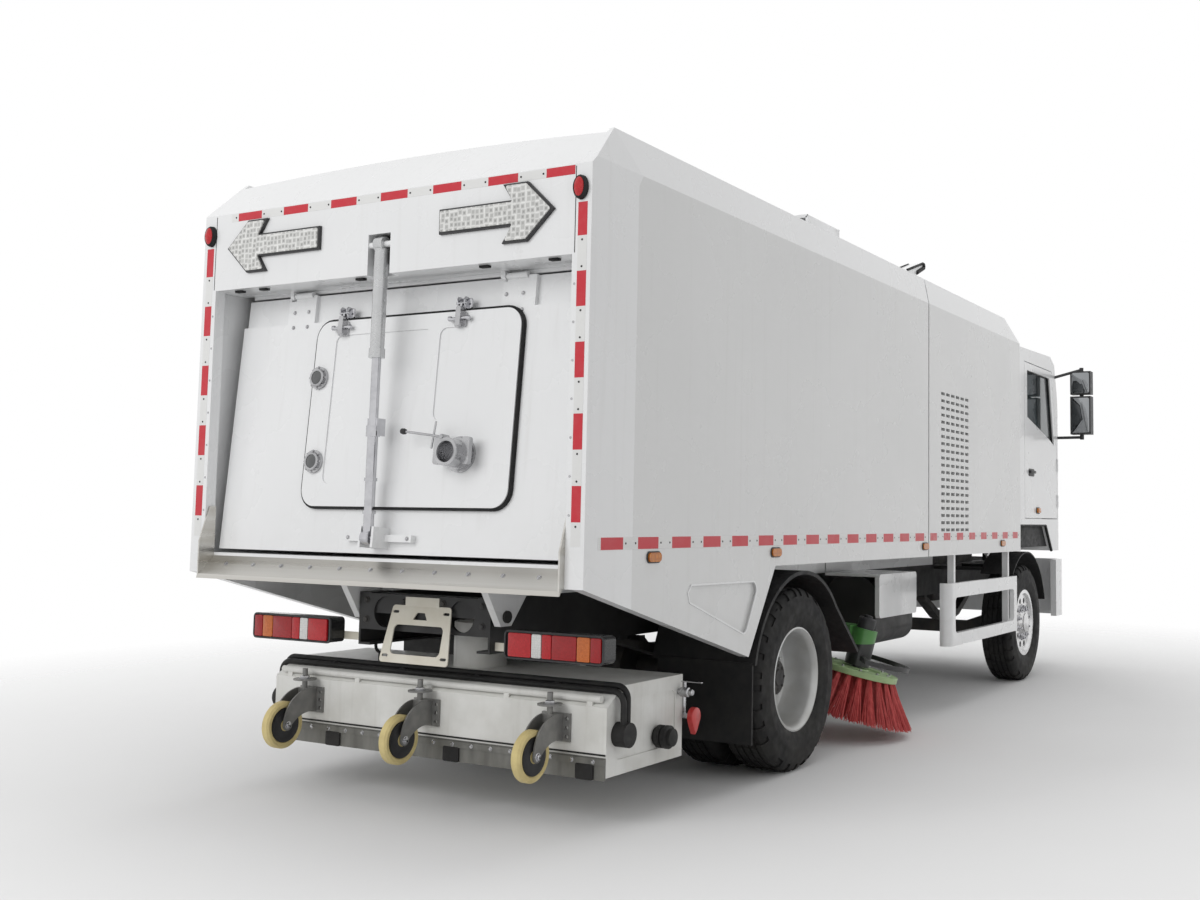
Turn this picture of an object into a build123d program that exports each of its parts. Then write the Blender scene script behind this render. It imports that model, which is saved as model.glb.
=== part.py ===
from build123d import *
import os
from math import cos, radians, sin, tan

# Street sweeper truck in millimetres: +X forward, +Y left, +Z up, wheels on Z = 0.

# Lengths along the truck, from the chute's lip to the bumper
LIP_OVERHANG = 40.0
HOPPER_LENGTH = 4360.0
HOPPER_GAP = 20.0
BAY_LENGTH = 2400.0
CAB_GAP = 70.0
CAB_LENGTH = 1740.0
BUMPER_PROUD = 70.0
OVERALL_LENGTH = (
    LIP_OVERHANG + HOPPER_LENGTH + HOPPER_GAP + BAY_LENGTH + CAB_GAP + CAB_LENGTH + BUMPER_PROUD
)
X_REAR = LIP_OVERHANG - OVERALL_LENGTH / 2
X_HF = X_REAR + HOPPER_LENGTH
X_BR = X_HF + HOPPER_GAP
X_BF = X_BR + BAY_LENGTH
X_CR = X_BF + CAB_GAP
X_CF = X_CR + CAB_LENGTH
X_FRONT = X_CF + BUMPER_PROUD

# Widths and gaps
BODY_WIDTH = 2500.0
WALL = 60.0
SEAT_GAP = 0.3
RUN_GAP = 0.08
HALF = BODY_WIDTH / 2
INNER = HALF - WALL

# Running gear
REAR_OVERHANG = 2240.0
FRONT_OVERHANG = 1350.0
TYRE_R = 522.0
TYRE_W = 290.0
RIM_R = 286.0
RIM_W = 230.0
RIM_T = 22.0
DUAL_GAP = 50.0
FRONT_INSET = 75.0
REAR_INSET = 20.0
HUB_BORE_R = 60.0
KINGPIN_INSET = 160.0
KINGPIN_R = 22.0
STUB_R = 40.0
X_RA = X_REAR + REAR_OVERHANG
X_FA = X_CF - FRONT_OVERHANG
FRONT_WHEEL_Y = HALF - FRONT_INSET - TYRE_W / 2
KINGPIN_Y = FRONT_WHEEL_Y - KINGPIN_INSET
Y_OUT = HALF - REAR_INSET - TYRE_W / 2
Y_IN = Y_OUT - TYRE_W - DUAL_GAP

# Frame
RAIL_Y = 430.0
RAIL_H = 270.0
RAIL_FLANGE = 80.0
RAIL_T = 12.0
RAIL_LIFT = 248.0
RAIL_BOTTOM = TYRE_R + RAIL_LIFT
RAIL_TOP = RAIL_BOTTOM + RAIL_H
RAIL_MID = RAIL_Y - RAIL_FLANGE / 2
FRAME_SETBACK = 400.0
X_FRAME_REAR = X_REAR + FRAME_SETBACK
X_FRAME_FRONT = X_CF - 25.0
SPRING_W = 84.0
SPRING_REACH = 640.0
SPRING_EYE_Z = RAIL_BOTTOM - 40.0

# Box body
BOX_RISE = 145.0
WALL_HEIGHT = 1860.0
CHAMFER_H = 185.0
CHAMFER_W = 37.0
EDGE_DROP = 25.0
CROWN = 45.0
ROOF_T = 40.0
FLOOR_T = 45.0
BOX_BOTTOM = RAIL_TOP + BOX_RISE
FLOOR_TOP = BOX_BOTTOM + FLOOR_T
SHOULDER = BOX_BOTTOM + WALL_HEIGHT
BOX_TOP = SHOULDER + CHAMFER_H
TOP_HALF = HALF - CHAMFER_W
ROOF_EDGE = BOX_TOP - EDGE_DROP
ROOF_CROWN = ROOF_EDGE + CROWN
ROOF_INSIDE = ROOF_EDGE - ROOF_T

# Hopper rear end
POST_LENGTH = 385.0
POST_FLANGE = 100.0
HEADER_H = 406.0
SOFFIT_DEPTH = 230.0
SKIRT_X = 1550.0
SKIRT_DROP = 474.0
SKIRT_TOP_X = 1862.0
POST_BOTTOM = BOX_BOTTOM - 55.0
POST_TOP = SHOULDER - 34.0
SOFFIT = POST_TOP - HEADER_H
SKIRT_Z = BOX_BOTTOM - SKIRT_DROP
TIP_X = X_FRAME_REAR + 60.0
TIP_Z = RAIL_TOP - 90.0
PIN_R = 30.0

# Tail door, hinged at its top on the outer face
DOOR_TOP_X = X_REAR + 200.0
DOOR_TOP_Z = SOFFIT - 27.0
DOOR_LOW_X = X_REAR + 85.0
DOOR_LOW_Z = FLOOR_TOP + 20.0
DOOR_T = 60.0
DOOR_HALF = HALF - POST_FLANGE - 15.0
DOOR_HINGE_R = 16.0
DOOR_PIN_R = 9.0
HINGE_Y = 700.0
RAM_X = X_REAR + 20.0
RAM_Z = SOFFIT + 150.0
RAM_FOOT_X = X_REAR - 4.0
RAM_FOOT_Z = BOX_BOTTOM + 145.0

# Cab
ARCH_RISE = 380.0
CAB_RISE = 1660.0
CAB_DROP = 255.0
BELT_RISE = 690.0
CAB_HALF = 1190.0
CAB_WALL = 60.0
CAB_PIN_R = 22.0
DOOR_GAP = 7.0
LEAF_R = 13.0
LEAF_PIN_R = 6.0
LEAF_H = 80.0
CORNER_R = 260.0
ARCH_Z = RAIL_TOP + ARCH_RISE
CAB_FLOOR = ARCH_Z + CAB_WALL
CAB_LOW = ARCH_Z - CAB_DROP
CAB_TOP = ARCH_Z + CAB_RISE
BELT = ARCH_Z + BELT_RISE
ROOF_SEAM = CAB_TOP - 115.0
DOOR_AXIS_X = X_CF - 270.0
LEAF_Z = (CAB_FLOOR + 150.0, BELT - 120.0)
CAB_TILT_X = X_CF - 80.0
CAB_TILT_Z = RAIL_TOP + 90.0

# Sweeping gear
NOZZLE_L = 690.0
NOZZLE_HALF = 1080.0
NOZZLE_BOTTOM = 240.0
NOZZLE_H = 410.0
SLOPE_X = 140.0
SLOPE_Z = 90.0
NOZZLE_WALL = 20.0
GUIDE_Y = 400.0
GUIDE_R = 25.0
CASTOR_R = 120.0
CASTOR_W = 52.0
CASTOR_TRAIL = 205.0
CASTOR_PITCH = 800.0
CASTOR_PIN_R = 10.0
NOZZLE_X = X_FRAME_REAR + 60.0
NOZZLE_TOP = NOZZLE_BOTTOM + NOZZLE_H
NOZZLE_BACK_TOP = NOZZLE_TOP - SLOPE_Z
GUIDE_X = NOZZLE_X + NOZZLE_L + 45.0
CASTOR_X = NOZZLE_X - CASTOR_TRAIL
CASTOR_Z = NOZZLE_BOTTOM + 105.0
BRUSH_TILT = 14.0
BRUSH_R = 420.0
BRUSH_SHAFT_R = 25.0
ARM_PIN_R = 25.0
BRUSH_X = X_RA + 1330.0
BRUSH_Y = HALF - 230.0
BRUSH_Z = 455.0
ARM_X = BRUSH_X + 310.0
ARM_Y = RAIL_Y + 90.0
ARM_Z = RAIL_BOTTOM - 70.0

os.makedirs("parts", exist_ok=True)


def save(part, name):
    """Label one finished piece and write it as STEP."""
    part.label = name
    export_step(part, f"parts/{name}.step")


def mirrored(part):
    """The same piece on the other side of the truck."""
    with BuildPart() as other:
        mirror(part, about=Plane.XZ)
    return other.part


def save_pair(part, name):
    """Write a left piece and its mirror image as two files."""
    save(part, f"{name}_left")
    save(mirrored(part), f"{name}_right")


def side_plate(outline, y_outer, thickness, rounding=0):
    """A plate with an outline in X and Z, its outer face at y_outer."""
    with BuildPart() as plate:
        with BuildSketch(Plane.XZ.offset(-y_outer)):
            with BuildLine():
                Polyline(*outline, close=True)
            make_face()
            if rounding:
                fillet(vertices(), rounding)
        extrude(amount=thickness)
    return plate.part


def across(outline, half):
    """A bar with an outline in X and Z, running from -half to +half in Y."""
    with BuildPart() as bar:
        with BuildSketch(Plane.XZ):
            with BuildLine():
                Polyline(*outline, close=True)
            make_face()
        extrude(amount=half, both=True)
    return bar.part


def along_x(y, z, radius, x_from, x_to):
    """A round bar along X."""
    with BuildPart() as bar:
        with BuildSketch(Plane.YZ.offset(x_from)):
            with Locations((y, z)):
                Circle(radius)
        extrude(amount=x_to - x_from)
    return bar.part


def along_y(x, z, radius, y_from, y_to):
    """A round bar along Y."""
    with BuildPart() as bar:
        with BuildSketch(Plane.XZ.offset(-y_from)):
            with Locations((x, z)):
                Circle(radius)
        extrude(amount=y_from - y_to)
    return bar.part


def upright(x, y, radius, z_from, z_to):
    """A round bar along Z."""
    with BuildPart() as bar:
        with BuildSketch(Plane.XY.offset(z_from)):
            with Locations((x, y)):
                Circle(radius)
        extrude(amount=z_to - z_from)
    return bar.part


def block(x_from, x_to, y_from, y_to, z_from, z_to):
    """A plain block between six limits."""
    with BuildPart() as box:
        with BuildSketch(Plane.XY.offset(z_from)):
            with Locations(((x_from + x_to) / 2, (y_from + y_to) / 2)):
                Rectangle(x_to - x_from, y_to - y_from)
        extrude(amount=z_to - z_from)
    return box.part


def tube(start, end, radius):
    """A round bar between two points."""
    run = Vector(*end) - Vector(*start)
    with BuildPart() as bar:
        with BuildSketch(Plane(origin=start, z_dir=run)):
            Circle(radius)
        extrude(amount=run.length)
    return bar.part


def turned(profile, x, z):
    """A ring or wheel turned about Y from (y, radius) points."""
    with BuildPart() as ring:
        with BuildSketch(Plane.YZ.offset(x)):
            with BuildLine():
                Polyline(*[(y, z + r) for y, r in profile], close=True)
            make_face()
        revolve(axis=Axis((x, 0, z), (0, 1, 0)))
    return ring.part


def hole_ring(x, z, pitch_r, hole_r, count, y_from, y_to):
    """Round cutters along Y, spread evenly on a circle."""
    with BuildPart() as cutters:
        with BuildSketch(Plane.XZ.offset(-y_from)):
            with Locations((x, z)):
                with PolarLocations(pitch_r, count):
                    Circle(hole_r)
        extrude(amount=y_from - y_to)
    return cutters.part


def crowned_section(x_from, x_to):
    """The box body's outline in Y and Z, swept over a length of X."""
    with BuildPart() as section:
        with BuildSketch(Plane.YZ.offset(x_from)):
            with BuildLine():
                right = Polyline(
                    (-INNER, ROOF_EDGE), (-INNER, BOX_TOP), (-TOP_HALF, BOX_TOP),
                    (-HALF, SHOULDER), (-HALF, 0),
                )
                left = Polyline(
                    (HALF, 0), (HALF, SHOULDER), (TOP_HALF, BOX_TOP),
                    (INNER, BOX_TOP), (INNER, ROOF_EDGE),
                )
                Line(right @ 1, left @ 0)
                ThreePointArc(left @ 1, (0, ROOF_CROWN), right @ 0)
            make_face()
        extrude(amount=x_to - x_from)
    return section.part


def crowned_panel(x_from, x_to, half, z_from, z_edge, rise):
    """A panel with a crowned top, from z_from up, over a length of X."""
    with BuildPart() as panel:
        with BuildSketch(Plane.YZ.offset(x_from)):
            with BuildLine():
                Polyline((-half, z_edge), (-half, z_from), (half, z_from), (half, z_edge))
                ThreePointArc((half, z_edge), (0, z_edge + rise), (-half, z_edge))
            make_face()
        extrude(amount=x_to - x_from)
    return panel.part


def lifting_eye(x, y, z):
    """A small eye plate standing on a roof."""
    with BuildPart() as eye:
        add(block(x - 35, x + 35, y - 7, y + 7, z, z + 40))
        add(along_y(x, z + 40, 35, y + 7, y - 7))
        add(along_y(x, z + 40, 17, y + 20, y - 20), mode=Mode.SUBTRACT)
    return eye.part


# Chassis frame: two channel rails, cross-members, spring hangers and the pivots it carries
CROSS_X = (
    TIP_X, X_RA - 830, X_RA - 230, X_RA + 1370, X_BR + 230, X_BR + 1580, X_FRAME_FRONT - 60,
)
HANGER_X = [axle + side * SPRING_REACH for axle in (X_RA, X_FA) for side in (-1, 1)]
HOLE_Y = 250.0
with BuildPart() as frame:
    with BuildSketch(Plane.YZ.offset(X_FRAME_REAR)):
        with Locations((RAIL_MID, RAIL_TOP - RAIL_H / 2)):
            Rectangle(RAIL_FLANGE, RAIL_H)
        with Locations((RAIL_MID - RAIL_T, RAIL_TOP - RAIL_H / 2)):
            Rectangle(RAIL_FLANGE, RAIL_H - 2 * RAIL_T, mode=Mode.SUBTRACT)
        mirror(about=Plane.YZ)
    extrude(amount=X_FRAME_FRONT - X_FRAME_REAR)
    for x in CROSS_X:
        add(block(x - 50, x + 50, 6 - RAIL_Y, RAIL_Y - 6, RAIL_TOP - 105, RAIL_TOP - 6))
    for x in HANGER_X:
        add(block(x - 35, x + 35, RAIL_Y - RAIL_FLANGE, RAIL_Y, SPRING_EYE_Z + 20, RAIL_BOTTOM + 2))
    add(block(X_FRAME_REAR, X_FRAME_REAR + 20, 0, RAIL_Y, RAIL_TOP - 190, RAIL_TOP - 6))
    add(along_x(HOLE_Y, RAIL_TOP - 98, 78, X_FRAME_REAR - 10, TIP_X + 60), mode=Mode.SUBTRACT)
    add(along_y(TIP_X, TIP_Z, PIN_R, RAIL_Y - 20, RAIL_Y + 62))
    add(block(CAB_TILT_X - 27, CAB_TILT_X + 27, RAIL_Y - 60, RAIL_Y - 20, RAIL_TOP - 2, CAB_TILT_Z))
    add(along_y(CAB_TILT_X, CAB_TILT_Z, 27, RAIL_Y - 20, RAIL_Y - 60))
    add(along_y(CAB_TILT_X, CAB_TILT_Z, CAB_PIN_R, RAIL_Y - 40, RAIL_Y + 62))
    add(block(ARM_X - 60, ARM_X + 60, RAIL_Y - 6, ARM_Y + 60, ARM_Z + 72, ARM_Z + 112))
    add(upright(ARM_X, ARM_Y, ARM_PIN_R, ARM_Z - 70, ARM_Z + 80))
    add(upright(GUIDE_X, GUIDE_Y, GUIDE_R, NOZZLE_BOTTOM + 35, RAIL_BOTTOM + 5))
    mirror(about=Plane.XZ)
save(frame.part, "chassis_frame")

# Axles: the driven rear one with its casing, and the front beam
AXLE_SEAT = TYRE_R + 88.0
BEAM_TOP = TYRE_R - 12.0
BEAM_H = 110.0
PINION_Z = TYRE_R + 30.0
PINION_X = X_RA + 320.0
with BuildPart() as axles:
    with BuildSketch(Plane.XY.offset(TYRE_R)):
        with Locations((X_RA, 0)):
            Circle(150)
    extrude(amount=100, both=True)
    add(along_y(X_RA, TYRE_R, 75, Y_IN - 125, 125 - Y_IN))
    add(along_y(X_RA, TYRE_R, HUB_BORE_R, Y_OUT - 25, 25 - Y_OUT))
    add(turned([(-160, 60), (-110, 190), (110, 190), (160, 60)], X_RA, TYRE_R))
    add(along_x(0, PINION_Z, 85, X_RA + 150, PINION_X))
    for side in (-1, 1):
        y = side * RAIL_MID
        add(block(X_RA - 70, X_RA + 70, y - 42, y + 42, TYRE_R, AXLE_SEAT - SEAT_GAP))
    add(block(X_FA - 50, X_FA + 50, 250 - KINGPIN_Y, KINGPIN_Y - 250, BEAM_TOP - BEAM_H, BEAM_TOP))
    for side in (-1, 1):
        with BuildSketch(Plane.YZ.offset(X_FA - 45)):
            with BuildLine():
                Polyline(
                    (side * (KINGPIN_Y - 270), BEAM_TOP), (side * (KINGPIN_Y - 270), BEAM_TOP - BEAM_H),
                    (side * (KINGPIN_Y - 90), TYRE_R - 55), (side * KINGPIN_Y, TYRE_R - 55),
                    (side * KINGPIN_Y, TYRE_R + 55), (side * (KINGPIN_Y - 90), TYRE_R + 55), close=True,
                )
            make_face()
        extrude(amount=90)
        add(upright(X_FA, side * KINGPIN_Y, 52, TYRE_R - 60, TYRE_R + 60))
        add(upright(X_FA, side * KINGPIN_Y, KINGPIN_R, TYRE_R - 115, TYRE_R + 115))
save(axles.part, "axles")

# Leaf springs: a main leaf on the hangers and a thick pack at the seat
SPRING_SEATS = ((X_RA, AXLE_SEAT), (X_FA, BEAM_TOP + SEAT_GAP))
EYE_TOP = SPRING_EYE_Z + 20.0 - SEAT_GAP
with BuildPart() as springs:
    for x, seat_z in SPRING_SEATS:
        with BuildSketch(Plane.XZ.offset(-RAIL_MID - SPRING_W / 2)):
            with BuildLine():
                Polyline(
                    (x - SPRING_REACH - 30, EYE_TOP), (x - SPRING_REACH - 30, SPRING_EYE_Z),
                    (x - 300, seat_z + 35), (x - 120, seat_z), (x + 120, seat_z), (x + 300, seat_z + 35),
                    (x + SPRING_REACH + 30, SPRING_EYE_Z), (x + SPRING_REACH + 30, EYE_TOP),
                    (x + SPRING_REACH - 40, EYE_TOP), (x + 250, seat_z + 90), (x - 250, seat_z + 90),
                    (x - SPRING_REACH + 40, EYE_TOP), close=True,
                )
            make_face()
        extrude(amount=SPRING_W)
    mirror(about=Plane.XZ)
save(springs.part, "leaf_springs")

# Engine with gearbox, and the second engine in the machine bay, as plain blocks
GEARBOX_X = X_FA - 980.0
with BuildPart() as engines:
    add(block(X_FA - 170, X_FA + 610, -330, 330, RAIL_BOTTOM - 80, ARCH_Z - 50))
    add(block(X_FA + 610, X_FA + 1020, -330, 330, RAIL_BOTTOM - 80, RAIL_TOP + 70))
    add(block(GEARBOX_X, X_FA - 160, -220, 220, RAIL_BOTTOM - 50, RAIL_TOP + 80))
    add(block(X_BR + 600, X_BF - 400, -520, 520, FLOOR_TOP, FLOOR_TOP + 920))
save(engines.part, "engine_blocks")

# Propeller shaft from gearbox to rear axle
SHAFT_R = 50.0
shaft_from = Vector(GEARBOX_X, 0, RAIL_BOTTOM + 80)
shaft_to = Vector(PINION_X, 0, PINION_Z)
shaft_run = (shaft_to - shaft_from).normalized()
shaft_trim = SEAT_GAP + SHAFT_R * abs(shaft_run.Z)
with BuildPart() as propshaft:
    with BuildSketch(Plane(origin=shaft_from + shaft_run * shaft_trim, z_dir=shaft_run)):
        Circle(SHAFT_R)
    extrude(amount=(shaft_to - shaft_from).length - 2 * shaft_trim)
save(propshaft.part, "propeller_shaft")

# Tanks hung on the rails: x from, length, side, width, height, middle height, rounding
TANK_CLEAR = 310.0
TANKS = (
    (ARM_X + TANK_CLEAR, 760.0, -1, 390.0, 490.0, RAIL_BOTTOM + 5.0, 120.0),
    (X_BR + 430.0, 1150.0, 1, 560.0, 500.0, RAIL_BOTTOM + 10.0, 110.0),
)
TANK_GAP = 90.0
with BuildPart() as tanks:
    for x, length, side, width, height, middle, rounding in TANKS:
        with BuildSketch(Plane.YZ.offset(x)):
            with Locations((side * (RAIL_Y + TANK_GAP + width / 2), middle)):
                RectangleRounded(width, height, rounding)
        extrude(amount=length)
        for strap in (x + 0.16 * length, x + 0.84 * length):
            y_near = side * (RAIL_Y + SEAT_GAP)
            y_far = side * (RAIL_Y + TANK_GAP + 40)
            add(block(strap - 25, strap + 25, min(y_near, y_far), max(y_near, y_far), middle + 90, middle + 150))
save(tanks.part, "tanks")

# White cover in front of the round tank, with a folded top
COVER_Y = RAIL_Y + TANK_GAP + TANKS[0][3] + SEAT_GAP
COVER_X = TANKS[0][0]
with BuildPart() as cover:
    add(side_plate([
        (COVER_X - 10, RAIL_BOTTOM - 35), (COVER_X + 760, RAIL_BOTTOM - 35), (COVER_X + 760, RAIL_TOP + 10),
        (COVER_X - 10, RAIL_TOP + 10),
    ], -COVER_Y, 34, rounding=30))
    add(block(COVER_X, COVER_X + 750, -COVER_Y - 8, -RAIL_Y - 80, RAIL_TOP - 10, RAIL_TOP + 10))
save(cover.part, "tank_cover")

# Rear mudguards with flaps, and liners over the front wheels that clear them at full lock
GUARD_R = TYRE_R + 103.0
GUARD_T = 22.0
GUARD_IN = Y_IN - TYRE_W / 2
FLAP_X = X_RA - GUARD_R + 6.0
GUARD_BREAK = 40.0
GUARD_COS = cos(radians(GUARD_BREAK))
GUARD_SIN = sin(radians(GUARD_BREAK))
GUARD_NOSE_X = X_RA + GUARD_R + 205.0
GUARD_NOSE_Z = TYRE_R + 100.0
LINER_R = TYRE_R + 126.0
LINER_T = 12.0
LINER_IN = FRONT_WHEEL_Y - TYRE_W / 2 - 5.0
LINER_INSET = 70.0
LINER_OUT = HALF - LINER_INSET
with BuildPart() as mudguards:
    with BuildSketch(Plane.XZ.offset(2 - HALF)):
        with Locations((X_RA, TYRE_R)):
            Circle(GUARD_R)
            Circle(GUARD_R - GUARD_T, mode=Mode.SUBTRACT)
        with Locations((X_RA, TYRE_R + 135 - GUARD_R)):
            Rectangle(2.5 * GUARD_R, 2 * GUARD_R, mode=Mode.SUBTRACT)
        with BuildLine():
            Polyline(
                (X_RA, TYRE_R), (X_RA + 2 * GUARD_R * GUARD_COS, TYRE_R + 2 * GUARD_R * GUARD_SIN),
                (X_RA + 3 * GUARD_R, TYRE_R), close=True,
            )
        make_face(mode=Mode.SUBTRACT)
        with BuildLine():
            Polyline(
                (X_RA + GUARD_COS * GUARD_R, TYRE_R + GUARD_SIN * GUARD_R), (GUARD_NOSE_X, GUARD_NOSE_Z),
                (GUARD_NOSE_X - 17, GUARD_NOSE_Z - 17),
                (X_RA + GUARD_COS * (GUARD_R - GUARD_T), TYRE_R + GUARD_SIN * (GUARD_R - GUARD_T)), close=True,
            )
        make_face()
    extrude(amount=HALF - 2 - GUARD_IN)
    add(block(FLAP_X, FLAP_X + 14, GUARD_IN + 40, HALF - 14, TYRE_R - 287, TYRE_R + 148))
    for angle in (45, 135):
        x = X_RA + (GUARD_R - 11) * cos(radians(angle))
        z = TYRE_R + (GUARD_R - 11) * sin(radians(angle))
        add(along_y(x, z, 20, GUARD_IN + 30, RAIL_Y + SEAT_GAP))
    with BuildSketch(Plane.XZ.offset(-LINER_OUT)):
        with Locations((X_FA, TYRE_R)):
            Circle(LINER_R)
            Circle(LINER_R - LINER_T, mode=Mode.SUBTRACT)
        with BuildLine():
            Polyline(
                (X_FA, TYRE_R), (X_FA - 2 * LINER_R, TYRE_R + 2 * LINER_R), (X_FA - 2 * LINER_R, TYRE_R - 2 * LINER_R),
                (X_FA + 2 * LINER_R, TYRE_R - 2 * LINER_R), (X_FA + 2 * LINER_R, TYRE_R + 0.6 * LINER_R), close=True,
            )
        make_face(mode=Mode.SUBTRACT)
    extrude(amount=LINER_OUT - LINER_IN)
    for angle in (50, 130):
        x = X_FA + (LINER_R - LINER_T / 2) * cos(radians(angle))
        z = TYRE_R + (LINER_R - LINER_T / 2) * sin(radians(angle))
        add(along_y(x, z, 16, LINER_IN + 30, RAIL_Y + SEAT_GAP))
    mirror(about=Plane.XZ)
save(mudguards.part, "mudguards")

# Side guards: a bent panel with a long window, on two posts
GUARD_REAR = X_BR + 520.0
GUARD_FRONT = X_FA - 530.0
GUARD_LOW = TYRE_R - 32.0
GUARD_HIGH = GUARD_LOW + 477.0
GUARD_OUT = HALF - 15.0
BEND_R = 70.0
SHEET = 40.0
with BuildPart() as guards:
    with BuildSketch(Plane.XY.offset(GUARD_LOW)):
        with BuildLine():
            Polyline((GUARD_FRONT, GUARD_OUT), (GUARD_REAR + BEND_R, GUARD_OUT))
            RadiusArc((GUARD_REAR + BEND_R, GUARD_OUT), (GUARD_REAR, GUARD_OUT - BEND_R), -BEND_R)
            Polyline(
                (GUARD_REAR, GUARD_OUT - BEND_R), (GUARD_REAR, GUARD_OUT - BEND_R - 15),
                (GUARD_REAR + SHEET, GUARD_OUT - BEND_R - 15), (GUARD_REAR + SHEET, GUARD_OUT - BEND_R),
            )
            RadiusArc(
                (GUARD_REAR + SHEET, GUARD_OUT - BEND_R), (GUARD_REAR + BEND_R, GUARD_OUT - SHEET), BEND_R - SHEET,
            )
            Polyline(
                (GUARD_REAR + BEND_R, GUARD_OUT - SHEET), (GUARD_FRONT, GUARD_OUT - SHEET), (GUARD_FRONT, GUARD_OUT),
            )
        make_face()
    extrude(amount=GUARD_HIGH - GUARD_LOW)
    add(side_plate([
        (GUARD_REAR + 125, GUARD_LOW + 95), (GUARD_FRONT - 90, GUARD_LOW + 95),
        (GUARD_FRONT - 90, GUARD_HIGH - 110), (GUARD_REAR + 125, GUARD_HIGH - 110),
    ], GUARD_OUT + 20, 120, rounding=40), mode=Mode.SUBTRACT)
    for x in (GUARD_REAR + 215, GUARD_FRONT - 130):
        add(block(x - 20, x + 20, GUARD_OUT - 90, GUARD_OUT - SHEET + 1, GUARD_LOW + 20, BOX_BOTTOM - SEAT_GAP))
    mirror(about=Plane.XZ)
save(guards.part, "side_guards")

# Brackets at the tail: lamp arms and a leaning plate with a window
LAMP_X = X_REAR + 345.0
LAMP_IN = 570.0
LAMP_OUT = HALF - 115.0
LAMP_H = 130.0
LAMP_DEPTH = 95.0
PLATE_H = 285.0
PLATE_LEAN = 12.0
plate_plane = Plane(
    origin=(X_FRAME_REAR - 8, 0, RAIL_TOP - 60), x_dir=(0, -1, 0),
    z_dir=(-cos(radians(PLATE_LEAN)), 0, sin(radians(PLATE_LEAN))),
)
with BuildPart() as brackets:
    add(block(
        LAMP_X + LAMP_DEPTH + SEAT_GAP, LAMP_X + LAMP_DEPTH + 8, RAIL_Y + SEAT_GAP, LAMP_IN + 190,
        RAIL_BOTTOM + 15, RAIL_BOTTOM + 55,
    ))
    mirror(about=Plane.XZ)
    add(block(X_FRAME_REAR - 8, X_FRAME_REAR - SEAT_GAP, -110, 110, RAIL_TOP - 66, RAIL_TOP - 14))
    with BuildSketch(plate_plane):
        with BuildLine():
            Polyline((-190, 4), (190, 4), (225, -PLATE_H), (-225, -PLATE_H), close=True)
        make_face()
        fillet(vertices(), 18)
        with Locations((0, -0.59 * PLATE_H)):
            RectangleRounded(322, 0.52 * PLATE_H, 26, mode=Mode.SUBTRACT)
        with Locations((0, -0.17 * PLATE_H)):
            Trapezoid(92, 36, 60, mode=Mode.SUBTRACT)
        with Locations((-165, -30), (165, -30), (-190, -PLATE_H + 34), (190, -PLATE_H + 34)):
            SlotOverall(40, 14, mode=Mode.SUBTRACT)
    extrude(amount=-6)
save(brackets.part, "tail_brackets")

# Front bumper with pockets for its headlamps
BUMPER_TOP = CAB_LOW - 90.0
BUMPER_H = 555.0
BUMPER_LOW = BUMPER_TOP - BUMPER_H
BUMPER_BACK = X_FRONT - 405.0
HEADLAMP_Y = 900.0
HEADLAMP_Z = BUMPER_TOP - 215.0
HEADLAMP_W = 330.0
HEADLAMP_H = 200.0
POCKET = 70.0
with BuildPart() as bumper:
    with BuildSketch(Plane.XY.offset(BUMPER_LOW)):
        with Locations(((X_FRONT + BUMPER_BACK) / 2, 0)):
            Rectangle(X_FRONT - BUMPER_BACK, 2 * CAB_HALF)
        fillet(vertices().group_by(Axis.X)[-1], 200)
        with Locations(((X_FRAME_FRONT + BUMPER_BACK) / 2 - 50, 0)):
            Rectangle(X_FRAME_FRONT - BUMPER_BACK + 100, 2 * CAB_HALF - 110, mode=Mode.SUBTRACT)
    extrude(amount=BUMPER_H)
    for y in (-HEADLAMP_Y, HEADLAMP_Y):
        with BuildSketch(Plane.YZ.offset(X_FRONT - POCKET)):
            with Locations((y, HEADLAMP_Z)):
                Rectangle(HEADLAMP_W, HEADLAMP_H)
        extrude(amount=POCKET + 30, mode=Mode.SUBTRACT)
    with BuildSketch(Plane.YZ.offset(X_FRONT - 30)):
        with Locations((0, BUMPER_LOW + 120)):
            SlotOverall(1200, 110)
    extrude(amount=60, mode=Mode.SUBTRACT)
save(bumper.part, "front_bumper")

# Lamps on the chassis: headlamps, tail lamps and the bay's side lamps
SIDE_LAMP_W = 110.0
SIDE_LAMP_H = 44.0
SIDE_LAMP_Z = BOX_BOTTOM + 75.0
SIDE_LAMP_T = 14.0


def side_lamps(places):
    """Small rounded lamps on the left wall at a row of X places."""
    with BuildPart() as lamps:
        with BuildSketch(Plane.XZ.offset(-HALF - SIDE_LAMP_T)):
            with Locations(*[(x, SIDE_LAMP_Z) for x in places]):
                RectangleRounded(SIDE_LAMP_W, SIDE_LAMP_H, 20)
        extrude(amount=SIDE_LAMP_T - SEAT_GAP)
    return lamps.part


with BuildPart() as chassis_lamps:
    with BuildSketch(Plane.YZ.offset(X_FRONT - POCKET + SEAT_GAP)):
        with Locations((HEADLAMP_Y, HEADLAMP_Z)):
            Rectangle(HEADLAMP_W - 2 * SEAT_GAP, HEADLAMP_H - 2 * SEAT_GAP)
    extrude(amount=50)
    with BuildSketch(Plane.YZ.offset(LAMP_X)):
        with Locations(((LAMP_IN + LAMP_OUT) / 2, RAIL_BOTTOM + LAMP_H / 2)):
            RectangleRounded(LAMP_OUT - LAMP_IN, LAMP_H, 24)
    extrude(amount=LAMP_DEPTH)
    add(side_lamps([X_BF - 558]))
    mirror(about=Plane.XZ)
save(chassis_lamps.part, "chassis_lamps")

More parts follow.
